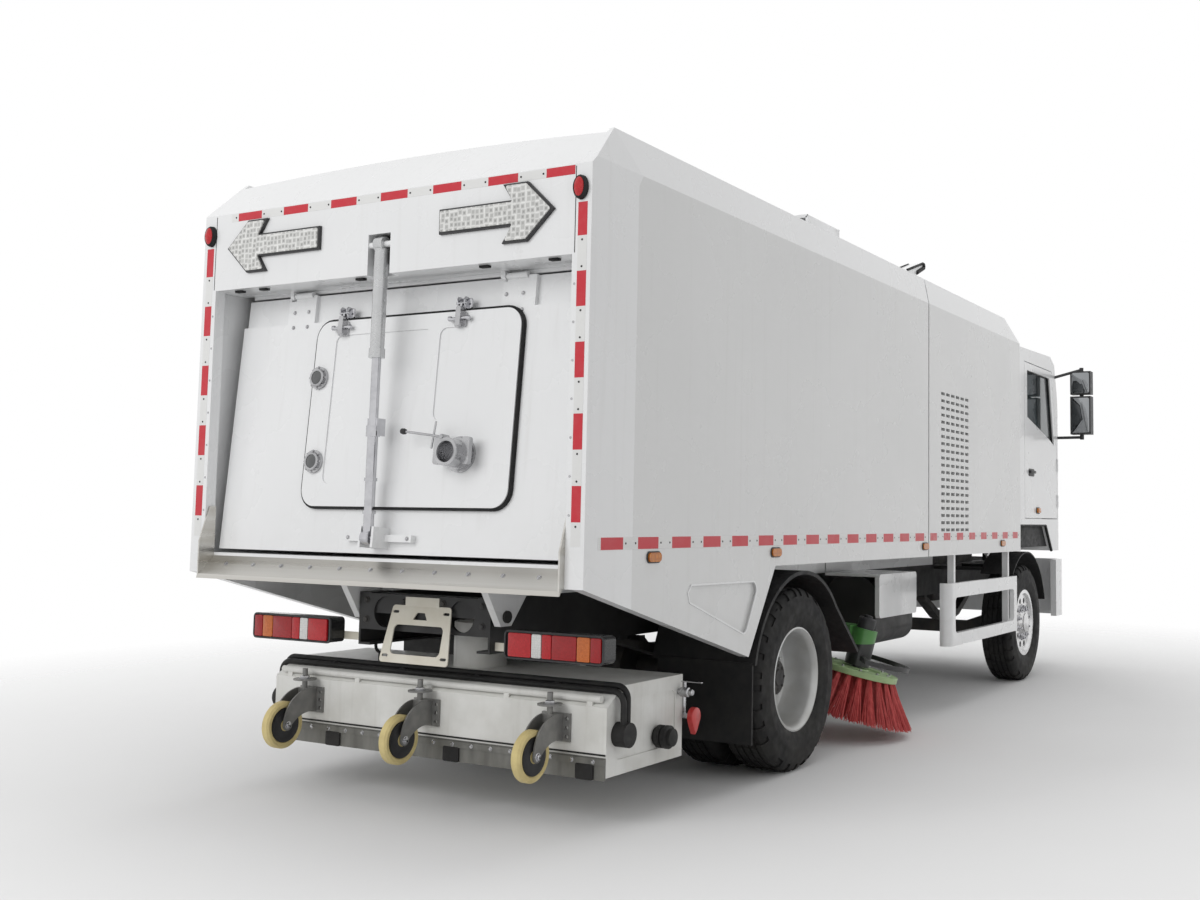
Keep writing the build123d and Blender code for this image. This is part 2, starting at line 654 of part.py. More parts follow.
# Machine bay: louvred sides, roof and a tub of floor and end walls
LOUVRE_X = X_BR + 594.0
LOUVRE_Z = BOX_BOTTOM + 705.0
LOUVRE_COLS = 6
LOUVRE_ROWS = 20
LOUVRE_PITCH = (114.0, 54.0)
BEVEL_X = X_BF - 350.0
BAY_SIDE = [
    (X_BR, BOX_BOTTOM), (X_BF, BOX_BOTTOM), (X_BF, SHOULDER), (BEVEL_X, BOX_TOP), (X_BR, BOX_TOP),
]
with BuildPart() as bay_sides:
    add(side_plate(BAY_SIDE, HALF, WALL))
    add(crowned_section(X_BR, X_BF), mode=Mode.INTERSECT)
    with BuildSketch(Plane.XZ.offset(-HALF - 10)):
        with Locations((LOUVRE_X, LOUVRE_Z)):
            with GridLocations(LOUVRE_PITCH[0], LOUVRE_PITCH[1], LOUVRE_COLS, LOUVRE_ROWS):
                Rectangle(84, 22)
    extrude(amount=WALL + 20, mode=Mode.SUBTRACT)
    mirror(about=Plane.XZ)
save(bay_sides.part, "bay_sides")

STACK_X = X_BR + 170.0
STACK_Y = 1000.0
with BuildPart() as bay_roof:
    add(across([
        (X_BR, ROOF_INSIDE), (X_BR, ROOF_CROWN + 10), (BEVEL_X - 40, ROOF_CROWN + 10),
        (X_BF, SHOULDER), (X_BF, SHOULDER - ROOF_T), (BEVEL_X - 10, ROOF_INSIDE),
    ], INNER))
    add(crowned_section(X_BR, X_BF), mode=Mode.INTERSECT)
    add(side_plate([
        (STACK_X - 130, ROOF_EDGE - 5), (STACK_X - 130, ROOF_CROWN + 70), (STACK_X + 220, ROOF_CROWN + 185),
        (STACK_X + 238, ROOF_CROWN + 150), (STACK_X + 70, ROOF_CROWN + 80), (STACK_X + 70, ROOF_EDGE - 5),
    ], 60 - STACK_Y, 120))
    for y in (-1080, 1080):
        add(lifting_eye(X_BR + 1270, y, ROOF_EDGE - 2))
save(bay_roof.part, "bay_roof")

with BuildPart() as bay_tub:
    add(block(X_BR, X_BF, -INNER, INNER, BOX_BOTTOM, FLOOR_TOP))
    add(block(X_BR, X_BR + WALL, -INNER, INNER, FLOOR_TOP, ROOF_INSIDE))
    add(block(X_BF - WALL, X_BF, -INNER, INNER, FLOOR_TOP, SHOULDER - ROOF_T))
    for side in (-1, 1):
        y = side * RAIL_MID
        add(block(X_BR, X_BF, y - 40, y + 40, RAIL_TOP + SEAT_GAP, BOX_BOTTOM))
save(bay_tub.part, "bay_tub")

# Hopper: its rear frame with the bevelled header, sides with pressed skirts, roof and tub
HEADER_RISE = ROOF_CROWN - POST_TOP + 20.0
X_HEADER = X_REAR + HEADER_RISE + 162.0
BEVEL_IN = POST_TOP - WALL * tan(radians(22.5))
HEADER = [
    (X_REAR, SOFFIT), (X_REAR, POST_TOP), (X_REAR + HEADER_RISE, POST_TOP + HEADER_RISE),
    (X_HEADER, POST_TOP + HEADER_RISE), (X_HEADER, ROOF_INSIDE),
    (X_REAR + WALL + ROOF_INSIDE - BEVEL_IN, ROOF_INSIDE), (X_REAR + WALL, BEVEL_IN),
    (X_REAR + WALL, SOFFIT + WALL), (X_REAR + SOFFIT_DEPTH, SOFFIT + WALL), (X_REAR + SOFFIT_DEPTH, SOFFIT),
]
SKIRT_SLOPE = (POST_BOTTOM - SKIRT_Z) / SKIRT_X
POST_SIDE = [
    (X_REAR, POST_BOTTOM), (X_REAR + POST_LENGTH, POST_BOTTOM - POST_LENGTH * SKIRT_SLOPE),
    (X_REAR + POST_LENGTH, POST_TOP - 21), (X_REAR + POST_LENGTH + 34, SHOULDER),
    (X_REAR + BOX_TOP - POST_TOP, BOX_TOP), (X_REAR, POST_TOP),
]
HOPPER_SIDE = [
    POST_SIDE[1], (X_REAR + SKIRT_X, SKIRT_Z), (X_REAR + SKIRT_TOP_X, BOX_BOTTOM), (X_HF, BOX_BOTTOM),
    (X_HF, BOX_TOP), POST_SIDE[4], POST_SIDE[3], POST_SIDE[2],
]
PRESSING = [
    (X_REAR + SKIRT_X - 926, BOX_BOTTOM - 62), (X_REAR + SKIRT_X + 120, BOX_BOTTOM - 72),
    (X_REAR + SKIRT_X - 40, SKIRT_Z + 113),
]
with BuildPart() as rear_frame:
    add(side_plate(POST_SIDE, HALF, WALL))
    add(block(X_REAR, X_REAR + WALL, HALF - POST_FLANGE, HALF, POST_BOTTOM, POST_TOP))
    mirror(about=Plane.XZ)
    add(across(HEADER, INNER))
    add(crowned_section(X_REAR, X_HF), mode=Mode.INTERSECT)
    add(block(X_REAR - 5, X_REAR + WALL + 5, -72, 72, SOFFIT - 5, RAM_Z + 50), mode=Mode.SUBTRACT)
    for y in (-HINGE_Y, HINGE_Y):
        add(block(DOOR_TOP_X - 18, DOOR_TOP_X + 18, y + 68, y + 92, DOOR_TOP_Z, SOFFIT + 5))
        add(along_y(DOOR_TOP_X, DOOR_TOP_Z, 18, y + 92, y + 68))
        add(along_y(DOOR_TOP_X, DOOR_TOP_Z, DOOR_PIN_R, y + 80, y - 60))
    for side in (-1, 1):
        add(block(X_REAR + 2, X_REAR + 40, side * 92 - 20, side * 92 + 20, SOFFIT + 70, RAM_Z + 45))
    add(along_y(RAM_X, RAM_Z, 16, 80, -80))
save(rear_frame.part, "hopper_rear_frame")

with BuildPart() as hopper_sides:
    add(side_plate(HOPPER_SIDE, HALF, WALL))
    add(crowned_section(X_REAR, X_HF), mode=Mode.INTERSECT)
    add(side_plate(PRESSING, HALF + 10, 24, rounding=50), mode=Mode.SUBTRACT)
    mirror(about=Plane.XZ)
save(hopper_sides.part, "hopper_sides")

VENT_X = X_REAR + 2560.0
with BuildPart() as hopper_roof:
    add(crowned_panel(X_HEADER, X_HF, INNER, ROOF_INSIDE - 100, ROOF_EDGE, CROWN))
    add(crowned_panel(
        X_HEADER - 20, X_HF + 10, INNER + 10, ROOF_INSIDE - 200, ROOF_INSIDE, CROWN,
    ), mode=Mode.SUBTRACT)
    add(block(VENT_X, VENT_X + 740, -1000, -420, ROOF_EDGE, ROOF_CROWN + 80))
    add(block(VENT_X - 60, VENT_X + 700, -970, -450, ROOF_CROWN + 25, ROOF_CROWN + 62), mode=Mode.SUBTRACT)
    for y in (-1080, 1080):
        add(lifting_eye(X_HEADER + 120, y, ROOF_EDGE - 2))
save(hopper_roof.part, "hopper_roof")

LUG = [
    (TIP_X - 220, BOX_BOTTOM), (TIP_X - 40, TIP_Z - 46), (TIP_X + 40, TIP_Z - 46), (TIP_X + 270, BOX_BOTTOM),
]
with BuildPart() as hopper_tub:
    add(block(X_REAR + WALL, X_HF, -INNER, INNER, BOX_BOTTOM, FLOOR_TOP))
    add(crowned_panel(X_HF - WALL, X_HF, INNER, FLOOR_TOP, ROOF_INSIDE, CROWN))
    add(block(X_FRAME_REAR + 160, X_HF, RAIL_Y - 80, RAIL_Y, RAIL_TOP + SEAT_GAP, BOX_BOTTOM))
    add(side_plate(LUG, RAIL_Y + 50, 40))
    add(along_y(TIP_X, TIP_Z, PIN_R + RUN_GAP, RAIL_Y + 80, RAIL_Y), mode=Mode.SUBTRACT)
    mirror(about=Plane.XZ)
save(hopper_tub.part, "hopper_tub")

# Discharge chute with its cheeks
LIP_X = X_REAR - LIP_OVERHANG
CHUTE = [
    (X_REAR + WALL, BOX_BOTTOM + 5), (X_REAR + WALL, BOX_BOTTOM + 29), (LIP_X + 6, BOX_BOTTOM - 63),
    (LIP_X, BOX_BOTTOM - 85), (LIP_X + 8, BOX_BOTTOM - 85), (LIP_X + 14, BOX_BOTTOM - 73),
]
CHEEK = [
    (X_REAR + WALL, BOX_BOTTOM + 285), (X_REAR + 20, BOX_BOTTOM + 285), (LIP_X + 4, BOX_BOTTOM + 105),
    (LIP_X + 4, BOX_BOTTOM - 77), (X_REAR + WALL, BOX_BOTTOM + 15),
]
CHEEK_Y = HALF - POST_FLANGE
with BuildPart() as chute:
    add(across(CHUTE, CHEEK_Y))
    add(side_plate(CHEEK, CHEEK_Y, 8))
    mirror(about=Plane.XZ)
save(chute.part, "chute")

# Lamps on the hopper: arrows with swept heads, round-ended markers and side lamps
ARROW_TIP = 1040.0
ARROW_TAIL = 400.0
ARROW_HALF = 50.0
ARROW_WING = 128.0
ARROW_Z = SOFFIT + 215.0
ARROW_T = 24.0
ARROW = (
    (ARROW_TIP, 0), (ARROW_TIP - 138, ARROW_WING), (ARROW_TIP - 258, ARROW_WING), (ARROW_TIP - 210, ARROW_HALF),
    (ARROW_TAIL, ARROW_HALF), (ARROW_TAIL, -ARROW_HALF), (ARROW_TIP - 210, -ARROW_HALF),
    (ARROW_TIP - 258, -ARROW_WING), (ARROW_TIP - 138, -ARROW_WING),
)
with BuildPart() as hopper_lamps:
    with BuildSketch(Plane.YZ.offset(X_REAR - ARROW_T)):
        with BuildLine():
            Polyline(*[(y, ARROW_Z + dz) for y, dz in ARROW], close=True)
        make_face()
        fillet(vertices(), 8)
        with Locations((HALF - 55, ARROW_Z + 80)):
            Ellipse(26, 44)
    extrude(amount=ARROW_T - SEAT_GAP)
    add(side_lamps([X_REAR + 569, X_REAR + 1859, X_HF - 69]))
    mirror(about=Plane.XZ)
save(hopper_lamps.part, "hopper_lamps")

# Tail door drawn on its outer face: a runs to the truck's right, b up from the low edge
door_run = Vector(DOOR_TOP_X - DOOR_LOW_X, 0, DOOR_TOP_Z - DOOR_LOW_Z)
door_face = Plane(
    origin=(DOOR_LOW_X, 0, DOOR_LOW_Z), x_dir=(0, -1, 0), z_dir=(-door_run.Z, 0, door_run.X),
)
DOOR_LENGTH = door_run.length
BAND_H = 150.0
BAND_T = 24.0
STRAP_IN = HINGE_Y - 85.0
STRAP_OUT = HINGE_Y + 110.0
with BuildPart() as tail_door:
    with BuildSketch(door_face):
        with Locations((0, DOOR_LENGTH / 2)):
            Rectangle(2 * DOOR_HALF, DOOR_LENGTH)
    extrude(amount=-DOOR_T)
    with BuildSketch(door_face):
        with Locations((0, DOOR_LENGTH - BAND_H / 2)):
            Rectangle(2 * STRAP_IN, BAND_H)
        for side in (-1, 1):
            with Locations((side * (STRAP_OUT + DOOR_HALF) / 2, DOOR_LENGTH - BAND_H / 2)):
                Rectangle(DOOR_HALF - STRAP_OUT, BAND_H)
    extrude(amount=-BAND_T, mode=Mode.SUBTRACT)
    for y in (-HINGE_Y, HINGE_Y):
        add(along_y(DOOR_TOP_X, DOOR_TOP_Z, DOOR_HINGE_R, y + 60, y - 60))
        add(along_y(DOOR_TOP_X, DOOR_TOP_Z, 26, y + 98, y + 62), mode=Mode.SUBTRACT)
        add(along_y(DOOR_TOP_X, DOOR_TOP_Z, DOOR_PIN_R + RUN_GAP, y + 90, y - 62), mode=Mode.SUBTRACT)
    for side in (-1, 1):
        with BuildSketch(door_face):
            with Locations((side * 40, 75)):
                Rectangle(14, 100)
        extrude(amount=112)
        with BuildSketch(door_face):
            with Locations((side * 130, 75)):
                Rectangle(170, 34)
        extrude(amount=34)
save(tail_door.part, "tail_door")

# Hatch with two pressed fields: middle a, middle b, width, height
HATCH_T = 26.0
HATCH_A = 105.0
HATCH_W = 1310.0
HATCH_LOW = 226.0
HATCH_H = DOOR_LENGTH - BAND_H - HATCH_LOW - 9.0
FIELD_T = 7.0
FIELDS = (
    (-97.0, HATCH_LOW + 0.52 * HATCH_H, 636.0, 0.80 * HATCH_H),
    (350.0, HATCH_LOW + 0.68 * HATCH_H, 158.0, 0.48 * HATCH_H),
)
with BuildPart() as hatch:
    with BuildSketch(door_face.offset(SEAT_GAP)):
        with Locations((HATCH_A, HATCH_LOW + HATCH_H / 2)):
            RectangleRounded(HATCH_W, HATCH_H, 90)
    extrude(amount=HATCH_T)
    with BuildSketch(door_face.offset(SEAT_GAP + HATCH_T)):
        for a, b, width, height in FIELDS:
            with Locations((a, b)):
                RectangleRounded(width, height, 40)
    extrude(amount=-FIELD_T, mode=Mode.SUBTRACT)
save(hatch.part, "door_hatch")

# Fittings: sight glasses, latches across the hatch's top edge and the drain coupling with its lever
FIT_FACE = SEAT_GAP * 2 + HATCH_T
SIGHTS = ((-503.0, HATCH_LOW + 654.0), (-480.0, HATCH_LOW + 224.0))
SIGHT_R = 58.0
LATCH_A = (-365.0, 401.0)
DRAIN_A = 470.0
DRAIN_B = HATCH_LOW + 250.0
DRAIN_R = 50.0
DRAIN_DEPTH = 95.0
DRAIN_H = 110.0
with BuildPart() as fittings:
    for a, b in SIGHTS:
        with BuildSketch(door_face.offset(FIT_FACE)):
            with Locations((a, b)):
                Circle(SIGHT_R)
        extrude(amount=14)
        with BuildSketch(door_face.offset(FIT_FACE)):
            with Locations((a, b)):
                Circle(0.66 * SIGHT_R)
        extrude(amount=20)
    for radius, height in ((86.0, 14.0), (66.0, DRAIN_H), (76.0, 40.0)):
        with BuildSketch(door_face.offset(FIT_FACE)):
            with Locations((DRAIN_A, DRAIN_B)):
                Circle(radius)
        extrude(amount=height)
    for a in (DRAIN_A - 84, DRAIN_A + 84):
        with BuildSketch(door_face.offset(FIT_FACE + 52)):
            with Locations((a, DRAIN_B + 10)):
                RectangleRounded(44, 130, 14)
        extrude(amount=24)
    with BuildSketch(door_face.offset(FIT_FACE + DRAIN_H)):
        with Locations((DRAIN_A, DRAIN_B)):
            Circle(DRAIN_R)
    extrude(amount=-DRAIN_DEPTH, mode=Mode.SUBTRACT)
    for a in LATCH_A:
        with BuildSketch(door_face.offset(FIT_FACE)):
            with Locations((a, HATCH_LOW + HATCH_H - 44)):
                RectangleRounded(70, 74, 12)
        extrude(amount=12)
        with BuildSketch(door_face.offset(FIT_FACE)):
            with Locations((a, HATCH_LOW + HATCH_H - 30)):
                RectangleRounded(30, 96, 10)
        extrude(amount=34)
save(fittings.part, "door_fittings")

# Door cylinder: a barrel hung in the header, its rod with a clamp collar and a thinner end
ram_run = Vector(RAM_FOOT_X - RAM_X, 0, RAM_FOOT_Z - RAM_Z)
ram_axis = Plane(origin=(RAM_X, 0, RAM_Z), x_dir=(0, 1, 0), z_dir=ram_run)
RAM_LENGTH = ram_run.length
RAM_BARREL = 0.393 * RAM_LENGTH
COLLAR = 0.627 * RAM_LENGTH
ROD_R = 22.0
with BuildPart() as barrel:
    add(along_y(RAM_X, RAM_Z, 37, 28, -28))
    with BuildSketch(ram_axis.offset(24)):
        Circle(34)
    extrude(amount=RAM_BARREL - 24)
    with BuildSketch(ram_axis.offset(RAM_BARREL - 46)):
        Circle(39)
    extrude(amount=46)
    with BuildSketch(ram_axis.offset(60)):
        Circle(ROD_R + RUN_GAP)
    extrude(amount=RAM_BARREL, mode=Mode.SUBTRACT)
    add(along_y(RAM_X, RAM_Z, 16 + RUN_GAP, 60, -60), mode=Mode.SUBTRACT)
save(barrel.part, "cylinder_barrel")

# Rod steps: from, length, radius
ROD_STEPS = (
    (0.295 * RAM_LENGTH, COLLAR - 0.295 * RAM_LENGTH, ROD_R), (COLLAR - 4, 52.0, 33.0),
    (COLLAR + 40, RAM_LENGTH - COLLAR - 60, 25.0), (0.80 * RAM_LENGTH, 16.0, 31.0), (0.91 * RAM_LENGTH, 16.0, 31.0),
)
with BuildPart() as rod:
    for start, length, radius in ROD_STEPS:
        with BuildSketch(ram_axis.offset(start)):
            Circle(radius)
        extrude(amount=length)
    with BuildSketch(ram_axis.offset(COLLAR - 40)):
        with Locations((0, 20)):
            Rectangle(64, 56)
        with Locations((0, 34)):
            Rectangle(34, 60, mode=Mode.SUBTRACT)
    extrude(amount=84)
    add(along_y(RAM_FOOT_X, RAM_FOOT_Z, 34, 24, -24))
    add(along_y(RAM_FOOT_X, RAM_FOOT_Z, 15, 40, -40), mode=Mode.SUBTRACT)
save(rod.part, "cylinder_rod")


# Cab
SPAN = CAB_HALF + 200.0


def cab_solid(inset):
    """The cab's outer form, drawn in by an inset on every side."""
    with BuildPart() as form:
        with BuildSketch(Plane.XZ):
            with BuildLine():
                Polyline(
                    (X_CR, ARCH_Z), (X_CR, CAB_TOP - 120), (X_CR + 60, CAB_TOP - 30), (X_CF - 500, CAB_TOP),
                    (X_CF - 350, CAB_TOP - 70), (X_CF - 65, BELT), (X_CF, BELT - 120), (X_CF, CAB_LOW),
                    (X_CF - 450, CAB_LOW), (X_CF - 680, ARCH_Z), close=True,
                )
            make_face()
            if inset:
                offset(amount=-inset, kind=Kind.INTERSECTION, mode=Mode.REPLACE)
        extrude(amount=CAB_HALF - inset, both=True)
        with BuildSketch(Plane.XY.offset(CAB_LOW - 100)):
            with Locations(((X_CR + X_CF) / 2, 0)):
                Rectangle(CAB_LENGTH - 2 * inset, 2 * (CAB_HALF - inset))
            fillet(vertices().group_by(Axis.X)[-1], CORNER_R - inset)
        extrude(amount=CAB_TOP - CAB_LOW + 200, mode=Mode.INTERSECT)
    return form.part


FRONT_SEAM = [
    (X_CF - 490, CAB_TOP + 120), (X_CF - 144, BELT), (X_CF - 144, CAB_LOW - 100), (X_CF + 200, CAB_LOW - 100),
    (X_CF + 200, CAB_TOP + 120),
]
CAB_DOOR = [
    (X_CR + 300, CAB_FLOOR), (X_CR + 300, CAB_TOP - 150), (X_CF - 465, CAB_TOP - 150), (DOOR_AXIS_X, BELT),
    (DOOR_AXIS_X, CAB_FLOOR),
]
CAB_WINDOW = [
    (X_CR + 390, BELT + 310), (X_CR + 390, CAB_TOP - 220), (X_CF - 540, CAB_TOP - 220), (X_CF - 380, BELT + 90),
    (X_CF - 580, BELT + 150),
]
SCREEN = [
    (180 - CAB_HALF, BELT + 40), (CAB_HALF - 180, BELT + 40), (CAB_HALF - 230, CAB_TOP - 130),
    (230 - CAB_HALF, CAB_TOP - 130),
]
with BuildPart() as cab_shell:
    add(cab_solid(0))
    add(cab_solid(CAB_WALL), mode=Mode.SUBTRACT)


def grown(outline, amount):
    """A prism through the left wall of the cab on an outline grown by an amount."""
    with BuildPart() as prism:
        with BuildSketch(Plane.XZ.offset(-SPAN)):
            with BuildLine():
                Polyline(*outline, close=True)
            make_face()
            if amount:
                offset(amount=amount, kind=Kind.INTERSECTION, mode=Mode.REPLACE)
        extrude(amount=SPAN - CAB_HALF + 4 * CAB_WALL)
    return prism.part


def screen_prism(inset):
    """A prism along X on the windscreen's outline."""
    with BuildPart() as prism:
        with BuildSketch(Plane.YZ.offset(X_CF - 580)):
            with BuildLine():
                Polyline(*SCREEN, close=True)
            make_face()
            fillet(vertices(), 70)
            if inset:
                offset(amount=-inset, kind=Kind.INTERSECTION, mode=Mode.REPLACE)
        extrude(amount=700)
    return prism.part


with BuildPart() as cab_front:
    add(cab_shell.part)
    add(across(FRONT_SEAM, SPAN), mode=Mode.INTERSECT)
    add(screen_prism(0), mode=Mode.SUBTRACT)
save(cab_front.part, "cab_front")

with BuildPart() as windscreen:
    add(cab_solid(12))
    add(cab_solid(20), mode=Mode.SUBTRACT)
    add(screen_prism(SEAT_GAP), mode=Mode.INTERSECT)
    add(across(FRONT_SEAM, SPAN), mode=Mode.INTERSECT)
save(windscreen.part, "windscreen")

with BuildPart() as cab_rest:
    add(cab_shell.part)
    add(across(FRONT_SEAM, SPAN), mode=Mode.SUBTRACT)

with BuildPart() as cab_roof:
    add(cab_rest.part)
    add(block(X_CR - 50, X_CF + 50, -SPAN, SPAN, ROOF_SEAM, CAB_TOP + 200), mode=Mode.INTERSECT)
save(cab_roof.part, "cab_roof")

with BuildPart() as cab_sides:
    add(cab_rest.part)
    add(block(
        X_CR - 50, X_CF + 50, CAB_HALF - CAB_WALL, SPAN, CAB_LOW - 100, ROOF_SEAM,
    ), mode=Mode.INTERSECT)
    add(grown(CAB_DOOR, DOOR_GAP), mode=Mode.SUBTRACT)
    for z in LEAF_Z:
        add(upright(DOOR_AXIS_X, CAB_HALF, LEAF_R + 6, z - LEAF_H / 2 - 8, z + LEAF_H / 2 + 8), mode=Mode.SUBTRACT)
        add(block(
            DOOR_AXIS_X, DOOR_AXIS_X + 34, CAB_HALF - LEAF_R, CAB_HALF - 2, z + LEAF_H / 2 + 7, z + LEAF_H,
        ))
        add(upright(DOOR_AXIS_X, CAB_HALF, LEAF_R, z + LEAF_H / 2 + 7, z + LEAF_H))
        add(upright(DOOR_AXIS_X, CAB_HALF, LEAF_PIN_R, z - LEAF_H / 2, z + LEAF_H / 2 + 10))
    mirror(about=Plane.XZ)
save(cab_sides.part, "cab_sides")

with BuildPart() as cab_tub:
    add(cab_rest.part)
    add(block(
        X_CR - 50, X_CF + 50, CAB_WALL - CAB_HALF, CAB_HALF - CAB_WALL, CAB_LOW - 100, ROOF_SEAM,
    ), mode=Mode.INTERSECT)
    for side in (-1, 1):
        y = side * (RAIL_Y + 30)
        add(block(CAB_TILT_X - 190, CAB_TILT_X - 101, y - 20, y + 20, CAB_TILT_Z - 30, CAB_LOW + 35))
        add(block(CAB_TILT_X - 110, CAB_TILT_X + 34, y - 20, y + 20, CAB_TILT_Z - 32, CAB_LOW - 1))
        add(along_y(CAB_TILT_X, CAB_TILT_Z, CAB_PIN_R + RUN_GAP, y + 40, y - 40), mode=Mode.SUBTRACT)
save(cab_tub.part, "cab_tub")

with BuildPart() as cab_door:
    add(cab_shell.part)
    add(grown(CAB_DOOR, 0), mode=Mode.INTERSECT)
    add(grown(CAB_WINDOW, 0), mode=Mode.SUBTRACT)
    for z in LEAF_Z:
        add(upright(DOOR_AXIS_X, CAB_HALF, LEAF_R + 7, z + LEAF_H / 2 - 2, z + LEAF_H + 8), mode=Mode.SUBTRACT)
        add(upright(DOOR_AXIS_X, CAB_HALF, LEAF_R, z - LEAF_H / 2, z + LEAF_H / 2))
        add(upright(DOOR_AXIS_X, CAB_HALF, LEAF_PIN_R + RUN_GAP, z - LEAF_H, z + LEAF_H), mode=Mode.SUBTRACT)
save_pair(cab_door.part, "cab_door")

with BuildPart() as door_glass:
    add(cab_solid(25))
    add(cab_solid(31), mode=Mode.SUBTRACT)
    add(grown(CAB_WINDOW, -SEAT_GAP), mode=Mode.INTERSECT)
save_pair(door_glass.part, "door_glass")

# Cab inside: seats, dashboard and steering wheel
SEAT_ROWS = ((-600.0, 500.0), (0.0, 380.0), (600.0, 500.0))
SEAT_X = X_CR + 320.0
SEAT_BACK = [
    (SEAT_X, CAB_FLOOR + 400), (SEAT_X + 125, CAB_FLOOR + 400), (SEAT_X - 10, CAB_FLOOR + 1080),
    (SEAT_X - 120, CAB_FLOOR + 1060),
]
with BuildPart() as seats:
    for y, width in SEAT_ROWS:
        add(block(
            SEAT_X + 40, SEAT_X + 440, y - width / 2 + 40, y + width / 2 - 40, CAB_FLOOR + SEAT_GAP, CAB_FLOOR + 280,
        ))
        add(block(SEAT_X, SEAT_X + 510, y - width / 2, y + width / 2, CAB_FLOOR + 270, CAB_FLOOR + 410))
        add(across(SEAT_BACK, width / 2).moved(Location((0, y, 0))))
save(seats.part, "seats")

DASH = [
    (X_CF - 260, BELT - 450), (X_CF - 260, BELT - 26), (X_CF - 330, BELT - 5), (X_CF - 520, BELT - 70),
    (X_CF - 540, BELT - 210), (X_CF - 380, BELT - 450),
]
with BuildPart() as dashboard:
    add(across(DASH, CAB_HALF - 130))
    column = Plane(origin=(X_CF - 490, 600, BELT - 120), z_dir=(-0.5, 0, 0.866))
    with BuildSketch(column):
        Circle(35)
    extrude(amount=230)
    with BuildSketch(column.offset(200)):
        Circle(225)
        Circle(190, mode=Mode.SUBTRACT)
        Rectangle(400, 50)
    extrude(amount=32)
    add(block(X_CF - 261, X_CF - 61, 190 - CAB_HALF, CAB_HALF - 190, BELT - 410, BELT - 110))
    add(cab_shell.part, mode=Mode.SUBTRACT)
save(dashboard.part, "dashboard")

# Black trim: sun visor, grille and mirrors
MIRROR_X = X_CF - 220.0
MIRROR_Y = CAB_HALF + 240.0
GRILLE_LOW = CAB_LOW + 165.0
GRILLE_BARS = 5
VISOR = [
    (X_CF - 328, CAB_TOP - 18), (X_CF - 318, CAB_TOP + 10), (X_CF - 100, CAB_TOP - 80), (X_CF - 118, CAB_TOP - 106),
]
with BuildPart() as trim:
    add(across(VISOR, CAB_HALF - 130))
    for y in (290 - CAB_HALF, 0, CAB_HALF - 290):
        add(block(X_CF - 420, X_CF - 308, y - 40, y + 40, CAB_TOP - 80, CAB_TOP - 2))
    add(block(X_CF, X_CF + 18, 430 - CAB_HALF, CAB_HALF - 430, GRILLE_LOW, GRILLE_LOW + 530))
    for row in range(GRILLE_BARS):
        z = GRILLE_LOW + 70 + 90 * row
        add(block(X_CF + 6, X_CF + 40, 490 - CAB_HALF, CAB_HALF - 490, z, z + 55), mode=Mode.SUBTRACT)
    for side in (-1, 1):
        y = side * MIRROR_Y
        add(block(MIRROR_X - 60, MIRROR_X + 60, y - 100, y + 100, BELT + 210, BELT + 590))
        add(block(MIRROR_X - 55, MIRROR_X + 55, y - 100, y + 100, BELT + 610, BELT + 840))
        add(upright(MIRROR_X, y, 20, BELT + 160, BELT + 880))
        add(tube((X_CF - 345, side * (CAB_HALF - 40), CAB_TOP - 200), (MIRROR_X, y, BELT + 860), 14))
        add(tube((MIRROR_X - 10, side * (CAB_HALF - 40), BELT + 180), (MIRROR_X, y, BELT + 182), 14))
    add(cab_solid(0), mode=Mode.SUBTRACT)
save(trim.part, "cab_trim")

# Steering knuckles
with BuildPart() as knuckle:
    for z_from, z_to in ((TYRE_R + 61, TYRE_R + 110), (TYRE_R - 110, TYRE_R - 61)):
        add(upright(X_FA, KINGPIN_Y, 50, z_from, z_to))
        add(block(X_FA - 50, X_FA + 50, KINGPIN_Y, KINGPIN_Y + 90, z_from, z_to))
    add(block(X_FA - 60, X_FA + 60, KINGPIN_Y + 60, KINGPIN_Y + 95, TYRE_R - 110, TYRE_R + 110))
    add(along_y(X_FA, TYRE_R, STUB_R, FRONT_WHEEL_Y + 110, KINGPIN_Y + 80))
    add(upright(X_FA, KINGPIN_Y, KINGPIN_R + RUN_GAP, TYRE_R - 130, TYRE_R + 130), mode=Mode.SUBTRACT)
save_pair(knuckle.part, "knuckle")


# Wheels
def tyre_profile(y):
    """Half section of one tyre, centred at y."""
    w = TYRE_W / 2
    side_r = RIM_R + 0.44 * (TYRE_R - RIM_R)
    shoulder_r = RIM_R + 0.78 * (TYRE_R - RIM_R)
    return [
        (y - RIM_W / 2, RIM_R + SEAT_GAP), (y - w, side_r), (y - w + 10, shoulder_r), (y - w + 40, TYRE_R),
        (y + w - 40, TYRE_R), (y + w - 10, shoulder_r), (y + w, side_r), (y + RIM_W / 2, RIM_R + SEAT_GAP),
    ]


with BuildPart() as front_tyre:
    add(turned(tyre_profile(FRONT_WHEEL_Y), X_FA, TYRE_R))
save_pair(front_tyre.part, "tyre_front")

LIP = RIM_W / 2 + 8.0
HAND_HOLES = 10
HAND_HOLE_R = 27.0
with BuildPart() as front_rim:
    y = FRONT_WHEEL_Y
    add(turned([
        (y - LIP, RIM_R + 12), (y - LIP, RIM_R - RIM_T), (y + 60, RIM_R - 36), (y + 75, 160),
        (y + 70, STUB_R + RUN_GAP), (y + 130, STUB_R + RUN_GAP), (y + 130, 90), (y + 100, 110),
        (y + 100, RIM_R - 36), (y + LIP, RIM_R - 20), (y + LIP, RIM_R + 12), (y + RIM_W / 2, RIM_R),
        (y - RIM_W / 2, RIM_R),
    ], X_FA, TYRE_R))
    add(hole_ring(X_FA, TYRE_R, RIM_R - 82, HAND_HOLE_R, HAND_HOLES, y + 120, y + 40), mode=Mode.SUBTRACT)
save_pair(front_rim.part, "rim_front")

